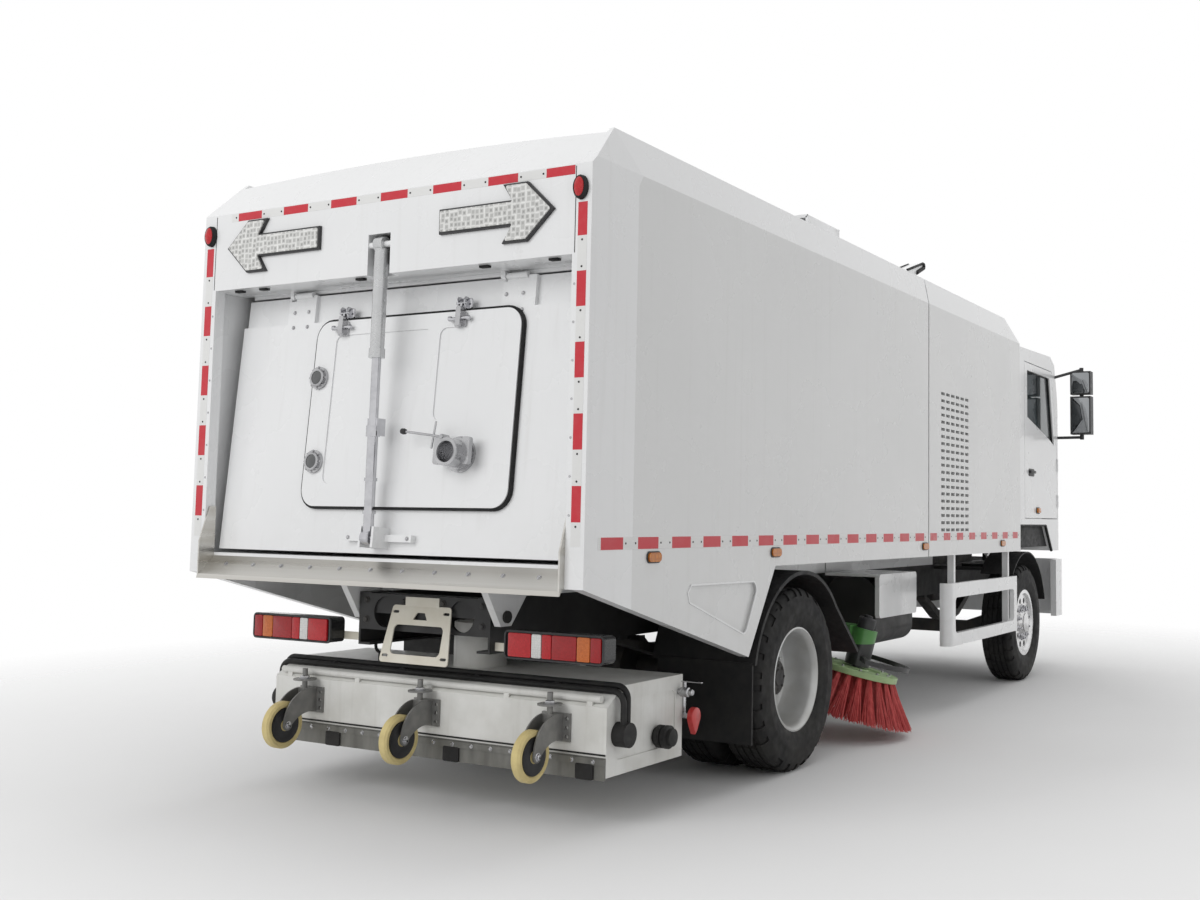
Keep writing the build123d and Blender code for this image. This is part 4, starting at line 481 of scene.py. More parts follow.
CREAM = Finish("cream_castor_rubber", (0.70, 0.58, 0.27), (0.58, 0.47, 0.22), (0.45, 0.65), drift=18.0,
               grain=300.0, relief=0.06)
PLASTIC = Finish("grained_plastic", (0.024, 0.024, 0.026), (0.036, 0.036, 0.037), (0.42, 0.58), drift=12.0,
                 grain=700.0, relief=0.16, slot="black_plastic")
RED_PAINT = Finish("red_cover_paint", (0.55, 0.030, 0.028), (0.44, 0.026, 0.024), (0.28, 0.42), coat=0.4,
                   drift=14.0, slot="red_lamp")
GREEN = Stepped("green_arm_paint", (0.10, 0.30, 0.075), (0.075, 0.24, 0.06), (0.32, 0.5), coat=0.3, drift=9.0,
                height_m=0.612)
FORK_GREY = Finish("fork_grey_paint", (0.17, 0.17, 0.17), (0.24, 0.24, 0.23), (0.36, 0.52), metallic=0.35,
                   coat=0.2, drift=16.0, relief=0.05, dust=0.2)
PALE_GREEN = Finish("pale_green_plate", (0.44, 0.62, 0.30), (0.36, 0.52, 0.25), (0.4, 0.6), coat=0.2,
                    drift=11.0, dust=0.1, slot="green_paint")
BRISTLE = Finish("red_bristle", (0.62, 0.105, 0.10), (0.42, 0.040, 0.040), (0.45, 0.7), drift=46.0,
                 grain=60.0, relief=0.1, stretch=(1.0, 1.0, 0.2), slot="bristle")
CLOTH = Weave("seat_cloth", (0.045, 0.047, 0.055), (0.070, 0.072, 0.080), (0.75, 0.92), drift=18.0,
              grain=420.0, relief=0.35, slot="fabric")
GLASS = Pane("tinted_glass", (0.10, 0.13, 0.14), (0.13, 0.16, 0.17), (0.02, 0.05), drift=3.0, relief=0.004)
DARK_GLASS = Finish("sight_glass", (0.035, 0.038, 0.040), (0.060, 0.063, 0.066), (0.05, 0.12), coat=1.0,
                    drift=20.0, relief=0.01, slot="glass")
MIRROR = Finish("mirror_glass", (0.34, 0.35, 0.36), (0.28, 0.29, 0.30), (0.02, 0.05), metallic=1.0, drift=3.0,
                relief=0.003, slot="glass")
RED_LENS = Lens("red_lens", (0.60, 0.014, 0.022), (0.42, 0.008, 0.012))
DEEP_RED = Lens("deep_red_lens", (0.44, 0.010, 0.014), (0.30, 0.006, 0.008))
ORANGE_LENS = Lens("orange_lens", (0.70, 0.19, 0.035), (0.52, 0.12, 0.02))
AMBER_LENS = Lens("amber_lens", (0.64, 0.22, 0.015), (0.46, 0.13, 0.01), grain=140.0, slot="clear_lamp")
CLEAR_LENS = Lens("clear_lens", (0.74, 0.74, 0.72), (0.56, 0.56, 0.55), (0.06, 0.14), metallic=0.35,
                  grain=90.0, relief=0.5)
AMBER_SIDES = (1, True, 1.245, (0.62, 0.21, 0.015), (0.44, 0.12, 0.01))
HOPPER_LAMPS = Zoned(
    "hopper_lamp_lens", (0.72, 0.32, 0.04), (0.55, 0.20, 0.02), (0.06, 0.16), grain=38.0, relief=0.9,
    zones=((2, False, 2.0, (0.34, 0.34, 0.33), (0.86, 0.86, 0.84)), AMBER_SIDES),
)
CHASSIS_LAMPS = Zoned(
    "chassis_lamp_lens", (0.72, 0.73, 0.73), (0.52, 0.53, 0.54), (0.06, 0.16), grain=60.0, relief=0.4,
    zones=((0, False, -1.0, (0.02, 0.02, 0.021), (0.03, 0.03, 0.031)), AMBER_SIDES),
)
HEADER_TAPE = Tape("header_tape", along=1, start=0.160, period=0.333, red_part=0.52)
POST_TAPE = Tape("post_tape", along=2, start=1.420, period=0.316, red_part=0.5)
HOPPER_TAPE = Tape("hopper_side_tape", start=X_REAR + 0.431, period=0.305, red_part=0.59)
BAY_TAPE = Tape("bay_side_tape", start=X_REAR + 0.431, period=0.305, red_part=0.5, faded=0.45)


class Paintshop:
    """Keeps one material for each finish."""

    made: dict[str, bpy.types.Material] = {}

    @classmethod
    def get(cls, finish: Finish) -> bpy.types.Material:
        """The material of a finish, built at its first use."""
        if finish.name not in cls.made:
            cls.made[finish.name] = finish.make()
        return cls.made[finish.name]


class Bench:
    """Primitives shaped by edit-mode operators about the origin, then set in place."""

    @staticmethod
    def clear() -> None:
        """Leave edit mode and deselect everything."""
        if bpy.context.mode != "OBJECT":
            bpy.ops.object.mode_set(mode="OBJECT")
        bpy.ops.object.select_all(action="DESELECT")

    @classmethod
    def take(cls, obj: Piece) -> None:
        """Select one object alone and make it active."""
        cls.clear()
        obj.select_set(True)
        bpy.context.view_layer.objects.active = obj

    @classmethod
    def edit(cls, obj: Piece, everything: bool = True) -> None:
        """Enter edit mode on one object."""
        cls.take(obj)
        bpy.ops.object.mode_set(mode="EDIT")
        bpy.ops.mesh.select_all(action="SELECT" if everything else "DESELECT")

    @staticmethod
    def done() -> None:
        """Leave edit mode."""
        bpy.ops.object.mode_set(mode="OBJECT")

    @staticmethod
    def adopt(name: str) -> Piece:
        """Name the primitive that was just added."""
        obj = bpy.context.active_object
        obj.name = name
        obj.data.name = name
        return obj

    @classmethod
    def settle(cls, obj: Piece) -> None:
        """Put an object's place and scale into its mesh."""
        cls.take(obj)
        bpy.ops.object.transform_apply(location=True, rotation=True, scale=True)

    @classmethod
    def pick_faces(cls, obj: Piece, test: Callable[[bpy.types.MeshPolygon], bool]) -> None:
        """Enter edit mode with only some faces selected.

        Args:
            obj: The object to edit.
            test: Says whether a face is selected.
        """
        cls.edit(obj, everything=False)
        bpy.ops.mesh.select_mode(type="FACE")
        bpy.ops.object.mode_set(mode="OBJECT")
        for face in obj.data.polygons:
            face.select = test(face)
        bpy.ops.object.mode_set(mode="EDIT")

    @classmethod
    def block(cls, name: str, size: Sequence[float], at: Sequence[float] = (0, 0, 0), soft: float = 0.002,
              steps: int = 2) -> Piece:
        """A block with rounded edges.

        Args:
            name: The object's name.
            size: Its three sides.
            at: Its middle.
            soft: The rounding of its edges.
            steps: Faces across the rounding.

        Returns:
            The block.
        """
        cls.clear()
        bpy.ops.mesh.primitive_cube_add(size=1.0, location=at)
        obj = cls.adopt(name)
        obj.scale = size
        cls.settle(obj)
        cls.edit(obj)
        bpy.ops.mesh.bevel(offset=soft, segments=steps, affect="EDGES")
        cls.done()
        return obj

    @classmethod
    def plate(cls, name: str, width: float, height: float, depth: float, corner: float, wall: float = 0.0,
              soft: float = 0.0) -> Piece:
        """A plate with round corners on the XY plane, raised along Z.

        Args:
            name: The object's name.
            width: Size along X.
            height: Size along Y.
            depth: Size along Z.
            corner: Radius of the corners.
            wall: Width of the rim where only a frame is wanted.
            soft: Rounding of the upper edge.

        Returns:
            The plate or frame.
        """
        cls.clear()
        bpy.ops.mesh.primitive_plane_add(size=1.0)
        obj = cls.adopt(name)
        obj.scale = (width, height, 1.0)
        cls.settle(obj)
        cls.edit(obj)
        bpy.ops.mesh.bevel(offset=corner, segments=6, affect="VERTICES")
        cls.lift(depth, wall, soft)
        return obj

    @classmethod
    def lift(cls, depth: float, wall: float, soft: float) -> None:
        """Raise the flat face in edit mode along Z, then leave edit mode.

        Args:
            depth: How far it is raised.
            wall: Width of the rim where only a frame is wanted.
            soft: Rounding of the upper edge.
        """
        if wall:
            bpy.ops.mesh.select_all(action="SELECT")
            bpy.ops.mesh.inset(thickness=wall)
            bpy.ops.mesh.delete(type="FACE")
            bpy.ops.mesh.select_all(action="SELECT")
        bpy.ops.mesh.extrude_region_move(TRANSFORM_OT_translate={"value": (0, 0, depth)})
        if soft:
            bpy.ops.mesh.bevel(offset=soft, segments=2, affect="EDGES")
        cls.close()

    @classmethod
    def close(cls) -> None:
        """Merge doubles and turn all faces outwards, then leave edit mode."""
        bpy.ops.mesh.select_all(action="SELECT")
        bpy.ops.mesh.remove_doubles(threshold=0.00005)
        bpy.ops.mesh.normals_make_consistent(inside=False)
        cls.done()

    @classmethod
    def outline(cls, name: str, points: Sequence[Pair], depth: float, wall: float = 0.0,
                soft: float = 0.0) -> Piece:
        """A flat shape on the XY plane, raised along Z.

        Args:
            name: The object's name.
            points: The corners in order.
            depth: How far it is raised.
            wall: Width of the rim where only a frame is wanted.
            soft: Rounding of the upper edge.

        Returns:
            The raised shape or frame.
        """
        cls.clear()
        bpy.ops.mesh.primitive_circle_add(vertices=len(points), radius=1.0, fill_type="NGON")
        obj = cls.adopt(name)
        for vertex, (x, y) in zip(obj.data.vertices, points):
            vertex.co = (x, y, 0.0)
        cls.edit(obj)
        cls.lift(depth, wall, soft)
        return obj

    @classmethod
    def lathe(cls, name: str, profile: Sequence[Pair], sides: int = 32, ring: bool = False) -> Piece:
        """A turned shape about Z.

        Args:
            name: The object's name.
            profile: Radius and height at each step.
            sides: Faces round the shape.
            ring: True for a ring, whose profile comes back to its start.

        Returns:
            The turned shape.
        """
        cls.clear()
        radius, height = profile[0]
        bpy.ops.mesh.primitive_circle_add(vertices=sides, radius=radius, location=(0, 0, height),
                                          fill_type="NOTHING" if ring else "NGON")
        obj = cls.adopt(name)
        cls.settle(obj)
        cls.edit(obj)
        steps = list(profile[1:]) + ([profile[0]] if ring else [])
        for new_radius, new_height in steps:
            move = {"value": (0, 0, new_height - height)}
            if ring:
                bpy.ops.mesh.extrude_edges_move(TRANSFORM_OT_translate=move)
            else:
                bpy.ops.mesh.extrude_region_move(TRANSFORM_OT_translate=move)
            factor = new_radius / radius
            if abs(factor - 1.0) > 1e-6:
                bpy.ops.transform.resize(value=(factor, factor, 1.0), center_override=(0, 0, new_height))
            radius, height = new_radius, new_height
        cls.close()
        return obj

    @classmethod
    def rod(cls, name: str, start: Sequence[float], end: Sequence[float], radius: float,
            sides: int = 14) -> Piece:
        """A round bar with eased ends between two points.

        Args:
            name: The object's name.
            start: One end.
            end: The other end.
            radius: The bar's radius.
            sides: Faces round the bar.

        Returns:
            The bar.
        """
        run = Vector(end) - Vector(start)
        ease = radius * 0.3
        obj = cls.lathe(name, ((radius - ease, 0.0), (radius, ease), (radius, run.length - ease),
                               (radius - ease, run.length)), sides)
        cls.place(obj, Matrix.Translation(start) @ run.to_track_quat("Z", "Y").to_matrix().to_4x4())
        return obj

    @staticmethod
    def place(obj: Piece, matrix: Matrix) -> Piece:
        """Move a mesh, with its object left at the origin."""
        obj.data.transform(matrix)
        if matrix.determinant() < 0:
            obj.data.flip_normals()
        obj.data.update()
        return obj

    @staticmethod
    def twin(master: Piece, name: str) -> Piece:
        """A copy with its own mesh."""
        copy = master.copy()
        copy.data = master.data.copy()
        copy.name = copy.data.name = name
        bpy.context.collection.objects.link(copy)
        return copy

    @classmethod
    def copies(cls, name: str, master: Piece, places: Iterable[Matrix], finish: Finish, body: str,
               slot: str = "") -> Piece:
        """Copy a master to each place and finish the joined copies; the master goes.

        Args:
            name: The joined object's name.
            master: The object to copy.
            places: Where each copy sits.
            finish: Their finish.
            body: The body that they move with.
            slot: Passed on to finish.

        Returns:
            The joined copies.
        """
        made = [cls.place(cls.twin(master, name), place) for place in places]
        bpy.data.objects.remove(master)
        return cls.finish(cls.join(name, made), finish, body, slot=slot)

    @staticmethod
    def ring(middle: Matrix, count: int, radius: float, height: float, start: float = 0.0) -> list[Matrix]:
        """Places spread evenly round a middle's local Z.

        Args:
            middle: The frame that they turn about.
            count: How many there are.
            radius: How far out they sit.
            height: How far up local Z they sit.
            start: The first one's angle in degrees.

        Returns:
            The places, each turned with its angle.
        """
        turns = (Matrix.Rotation(math.radians(360 / count * k + start), 4, "Z") for k in range(count))
        return [middle @ turn @ Matrix.Translation((radius, 0, height)) for turn in turns]

    @classmethod
    def join(cls, name: str, parts: Sequence[Piece]) -> Piece:
        """Join several objects into one."""
        cls.clear()
        for part in parts:
            part.select_set(True)
        bpy.context.view_layer.objects.active = parts[0]
        if len(parts) > 1:
            bpy.ops.object.join()
        parts[0].name = name
        parts[0].data.name = name
        return parts[0]

    @classmethod
    def finish(cls, obj: Piece, finish: Finish, body: str, at: Matrix | None = None, slot: str = "",
               angle: float = 35.0) -> Piece:
        """Paint a piece, set it in its place and let it ride on a body.

        Args:
            obj: The piece.
            finish: Its finish.
            body: The body that it moves with.
            at: Where it goes, if it isn't there yet.
            slot: Not used.
            angle: Edges under this many degrees are shaded smooth.

        Returns:
            The same piece.
        """
        if at is not None:
            cls.place(obj, at)
        obj.data.materials.append(Paintshop.get(finish))
        cls.take(obj)
        bpy.ops.object.shade_smooth_by_angle(angle=math.radians(angle))
        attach(obj, body)
        LOG.info("%s rides on %s", obj.name, body)
        return obj

    @classmethod
    def bolt(cls, name: str, radius: float, height: float) -> Piece:
        """A hexagon bolt head on its washer, standing on the XY plane.

        Args:
            name: The object's name.
            radius: Half the width across corners.
            height: The head's height.

        Returns:
            The bolt head.
        """
        washer = cls.lathe(f"{name}_washer", ((radius * 1.35, 0.0), (radius * 1.35, height * 0.22),
                                              (radius * 1.2, height * 0.3)), 14)
        head = cls.lathe(f"{name}_head",
                         ((radius, height * 0.2), (radius, height * 0.85), (radius * 0.8, height)), 6)
        return cls.join(name, [washer, head])


def frame_matrix(origin: Sequence[float], x_dir: Sequence[float], z_dir: Sequence[float]) -> Matrix:
    """A matrix from an origin, a direction for local X and one for local Z.

    Args:
        origin: Where local zero goes.
        x_dir: The direction of local X.
        z_dir: The direction of local Z.

    Returns:
        The matrix.
    """
    z = Vector(z_dir).normalized()
    x = Vector(x_dir).normalized()
    y = z.cross(x)
    matrix = Matrix.Identity(4)
    for column, vector in enumerate((x, y, z)):
        for row in range(3):
            matrix[row][column] = vector[row]
    matrix.translation = Vector(origin)
    return matrix


def to_rear(x: float, y: float, z: float) -> Matrix:
    """A place that faces rearwards, with local X to the truck's right."""
    return frame_matrix((x, y, z), (0, -1, 0), (-1, 0, 0))


def to_front(x: float, y: float, z: float) -> Matrix:
    """A place that faces forwards, with local X to the truck's left."""
    return frame_matrix((x, y, z), (0, 1, 0), (1, 0, 0))


def to_side(side: Side, x: float, out: float, z: float) -> Matrix:
    """A place that faces outwards on one side, so far out from the middle."""
    return frame_matrix((x, side.value * out, z), (-side.value, 0, 0), (0, side.value, 0))


def polar(face: bpy.types.MeshPolygon, steps: int) -> tuple[int, float]:
    """A face's step round Z and its distance from Z."""
    spot = face.center
    turn = math.atan2(spot.y, spot.x) % (2 * math.pi)
    return int(turn / (2 * math.pi / steps)), math.hypot(spot.x, spot.y)


def rounded(points: Sequence[Pair], radius: float, steps: int = 6) -> list[Pair]:
    """An outline whose corners are turned into arcs.

    Args:
        points: The corners in order.
        radius: The arcs' radius.
        steps: Straight bits in each arc.

    Returns:
        The points of the new outline.
    """
    result = []
    for index, corner in enumerate(points):
        apex = Vector(corner)
        back = (Vector(points[index - 1]) - apex).normalized()
        ahead = (Vector(points[(index + 1) % len(points)]) - apex).normalized()
        half = back.angle(ahead) / 2
        middle = apex + (back + ahead).normalized() * (radius / math.sin(half))
        first = apex + back * (radius / math.tan(half)) - middle
        last = apex + ahead * (radius / math.tan(half)) - middle
        for k in range(steps + 1):
            spot = middle + first.lerp(last, k / steps).normalized() * radius
            result.append((spot.x, spot.y))
    return result


FLIP = Matrix.Diagonal((1.0, -1.0, 1.0, 1.0))


@dataclass
class Studio:
    """Floor, soft lamps, white surroundings and the camera of the photograph's view."""

    eye: Triple = (-8.8979, -4.4387, 1.4571)
    yaw: float = 29.008
    pitch: float = 4.751
    roll: float = 0.833
    lens: float = 38.478
    shift: Pair = (-0.0974, -0.0339)
    aim: Triple = (-1.2, 0.0, 1.2)
    ambient: float = 0.46
    lamps: tuple[tuple[str, Triple, float, float], ...] = (
        ("key_lamp", (-11.5, 1.5, 5.0), 6.0, 330.0), ("right_lamp", (-3.5, -11.5, 6.0), 8.0, 130.0),
        ("left_lamp", (1.0, 11.5, 6.0), 8.0, 150.0), ("front_lamp", (12.0, -2.0, 5.0), 7.0, 220.0),
        ("top_lamp", (0.5, 0.0, 9.5), 8.0, 300.0),
    )

    def build(self) -> None:
        """Set the stage, the light and the camera."""
        self.floor()
        self.surroundings()
        for row in self.lamps:
            self.lamp(*row)
        self.camera()

    def floor(self) -> None:
        """A wide pale floor that fades into the background."""
        Bench.clear()
        bpy.ops.mesh.primitive_grid_add(x_subdivisions=2, y_subdivisions=2, size=120.0)
        floor = Bench.adopt("studio_floor")
        nodes = Nodes("studio_floor_paint")
        drift = nodes.span(nodes.noise(0.4, 3.0), (0.3, 0.7))
        nodes.link(nodes.blend(drift, (0.80, 0.80, 0.80), (0.83, 0.83, 0.83)),
                   nodes.shader.inputs["Base Color"])
        nodes.tune({"Roughness": 0.9})
        reach = nodes.add("ShaderNodeVectorMath", operation="LENGTH")
        nodes.link(nodes.mapped((1 / 11.0, 1 / 8.0, 1.0)), reach.inputs[0])
        nodes.link(nodes.span(reach.outputs["Value"], (0.35, 0.95), (1.0, 0.0)), nodes.shader.inputs["Alpha"])
        floor.data.materials.append(nodes.material)

    def surroundings(self) -> None:
        """White where the camera, gloss and glass look, and a plain soft level elsewhere."""
        world = bpy.data.worlds.new("studio_white")
        world.use_nodes = True
        bpy.context.scene.world = world
        tree = world.node_tree
        tree.nodes.clear()
        kinds = ("OutputWorld", "Background", "LightPath", "Math", "Math", "MapRange")
        output, shell, rays, seen, through, level = (tree.nodes.new(f"ShaderNode{kind}") for kind in kinds)
        seen.operation = through.operation = "MAXIMUM"
        level.inputs["To Min"].default_value = self.ambient
        level.inputs["To Max"].default_value = 1.0
        shell.inputs["Color"].default_value = (1.0, 1.0, 1.0, 1.0)
        for source, key, target, slot in (
            (rays, "Is Camera Ray", seen, 0), (rays, "Is Glossy Ray", seen, 1), (seen, "Value", through, 0),
            (rays, "Is Transmission Ray", through, 1), (through, "Value", level, "Value"),
            (level, "Result", shell, "Strength"), (shell, "Background", output, "Surface"),
        ):
            tree.links.new(source.outputs[key], target.inputs[slot])

    def lamp(self, name: str, place: Triple, size: float, power: float) -> None:
        """A soft square lamp aimed at the truck, not mirrored in gloss.

        Args:
            name: The lamp's name.
            place: Where it hangs.
            size: The side of its panel.
            power: Its power in watts.
        """
        light = bpy.data.lights.new(name, "AREA")
        light.energy = power
        light.size = size
        obj = bpy.data.objects.new(name, light)
        obj.location = place
        obj.visible_glossy = False
        aim = Vector(self.aim) - Vector(place)
        obj.rotation_euler = aim.to_track_quat("-Z", "Y").to_euler()
        bpy.context.collection.objects.link(obj)

    def camera(self) -> None:
        """The camera solved from the photograph."""
        yaw, pitch, roll = (math.radians(a) for a in (self.yaw, self.pitch, self.roll))
        ahead = Vector((math.cos(yaw) * math.cos(pitch), math.sin(yaw) * math.cos(pitch), math.sin(pitch)))
        right = Vector((math.sin(yaw), -math.cos(yaw), 0.0))
        up = right.cross(ahead)
        across = math.cos(roll) * right + math.sin(roll) * up
        data = bpy.data.cameras.new("photo_camera")
        data.lens = self.lens
        data.shift_x, data.shift_y = self.shift
        data.clip_end = 200.0
        camera = bpy.data.objects.new("photo_camera", data)
        camera.matrix_world = frame_matrix(self.eye, across, -ahead)
        bpy.context.collection.objects.link(camera)
        bpy.context.scene.camera = camera


@dataclass
class Coachwork:
    """Finishes of the solids that stay in view."""

    nodes: dict[str, Piece]
    paints: dict[str, Finish] = field(default_factory=lambda: {
        "chassis_frame": BLACK, "axles": IRON, "leaf_springs": IRON, "engine_blocks": IRON,
        "propeller_shaft": BLACK, "tanks": BLACK, "mudguards": RUBBER, "tail_brackets": CREAM_PAINT,
        "chassis_lamps": CHASSIS_LAMPS, "hopper_lamps": HOPPER_LAMPS, "chute": STEEL,
        "door_fittings": BRIGHT, "cylinder_barrel": BARREL, "cylinder_rod": CHROME,
        "nozzle": NOZZLE_WHITE, "nozzle_skirt": GALVANISED, "nozzle_hoses": RUBBER,
        "castor_forks": FORK_GREY, "hopper_sides": SIDE_PAINTED_SHADING, "bay_sides": SIDE_PAINTED_SHADING, "windscreen": GLASS,
        "dashboard": PLASTIC, "cab_trim": PLASTIC, "seats": CLOTH,
    })
    by_start: tuple[tuple[str, Finish], ...] = (
        ("door_glass", GLASS), ("knuckle", IRON), ("tyre", TYRE), ("rim_front", ALLOY),
        ("rims_rear", RIM_STEEL), ("brush_arm", GREEN), ("brush", BRISTLE), ("castor_wheel", CREAM),
    )

    def dress(self) -> None:
        """Give every solid its finish; body panels are white, and the sides are a greyer white as painted
        shade.
        """
        for name, obj in self.nodes.items():
            finish = self.paints.get(name)
            if finish is None:
                finish = next((f for start, f in self.by_start if name.startswith(start)), WHITE)
            obj.data.materials.clear()
            obj.data.materials.append(Paintshop.get(finish))
        LOG.info("%d solids painted", len(self.nodes))


@dataclass
class Tapes:
    """Reflective tape on the header, posts and sides."""

    thick: float = 0.0012
    sunk: float = 0.0002
    header_width: float = 0.042
    post_width: float = 0.050
    side_width: float = 0.055
    header_z: float = 2.986
    side_z: float = 1.327
    post_y: float = 1.203
    header_run: Pair = (-1.157, 1.051)
    post_run: Pair = (1.315, 2.835)
    hopper_run: Pair = (-4.205, 0.025)
    bay_run: Pair = (0.095, 2.455)

    def strip(self, name: str, tape: Tape, body: str, run: Pair, size: Triple, at: Triple) -> None:
        """One length of tape with eased edges.

        Args:
            name: The object's name.
            tape: The tape's finish, which says the axis that it runs along.
            body: The body that it rides on.
            run: Its start and end on that axis.
            size: Its sides on the other axes.
            at: Its middle on the other axes.
        """
        sides, middle = list(size), list(at)
        sides[tape.along] = run[1] - run[0]
        middle[tape.along] = sum(run) / 2
        Bench.finish(Bench.block(name, sides, middle, soft=0.0004, steps=1), tape, body)

    def build(self) -> None:
        """Lay every tape."""
        rear = X_REAR - self.thick / 2 + self.sunk
        self.strip("header_tape", HEADER_TAPE, "hopper", self.header_run,
                   (self.thick, 0.0, self.header_width), (rear, 0.0, self.header_z))
        for side in Side:
            out = (0.0, side.value * (HALF + self.thick / 2 - self.sunk), self.side_z)
            flat = (0.0, self.thick, self.side_width)
            self.strip(f"post_tape_{side.word}", POST_TAPE, "hopper", self.post_run,
                       (self.thick, self.post_width, 0.0), (rear, side.value * self.post_y, 0.0))
            self.strip(f"hopper_tape_{side.word}", HOPPER_TAPE, "hopper", self.hopper_run, flat, out)
            self.strip(f"bay_tape_{side.word}", BAY_TAPE, "chassis", self.bay_run, flat, out)
        self.rivets()

    @staticmethod
    def spots(tape: Tape, parts: Pair, run: Pair) -> list[float]:
        """Places along a tape at given parts of each band.

        Args:
            tape: The tape's finish, which holds its bands.
            parts: Where in a band's period the places are.
            run: The tape's start and end.

        Returns:
            The places that lie on the tape.
        """
        low, high = run
        first = math.floor((low - tape.start) / tape.period)
        last = math.ceil((high - tape.start) / tape.period)
        places = [tape.start + (k + part) * tape.period for k in range(first, last + 1) for part in parts]
        return [place for place in places if low + 0.01 < place < high - 0.01]

    def rivets(self) -> None:
        """Dark rivets at both ends of each white band."""
        rear = X_REAR - self.thick
        backs = [(y, self.header_z) for y in self.spots(HEADER_TAPE, (0.57, 0.95), self.header_run)]
        backs += [(side.value * self.post_y, z) for side in Side
                  for z in self.spots(POST_TAPE, (0.56, 0.94), self.post_run)]
        hopper = [to_rear(rear, y, z) for y, z in backs]
        hopper += [self.on_side(x, side) for x in self.spots(HOPPER_TAPE, (0.66, 0.93), self.hopper_run)
                   for side in Side]
        bay = [self.on_side(x, side) for x in self.spots(BAY_TAPE, (0.57, 0.93), self.bay_run)
               for side in Side]
        for body, places in (("hopper", hopper), ("chassis", bay)):
            rivet = Bench.lathe("tape_rivet", ((0.005, 0.0), (0.005, 0.0012), (0.0025, 0.0024)), 8)
            Bench.copies(f"tape_rivets_{body}", rivet, places, IRON, body)

    def on_side(self, x: float, side: Side) -> Matrix:
        """A place on a side tape, with local Z outwards."""
        return to_side(side, x, HALF + self.thick, self.side_z)


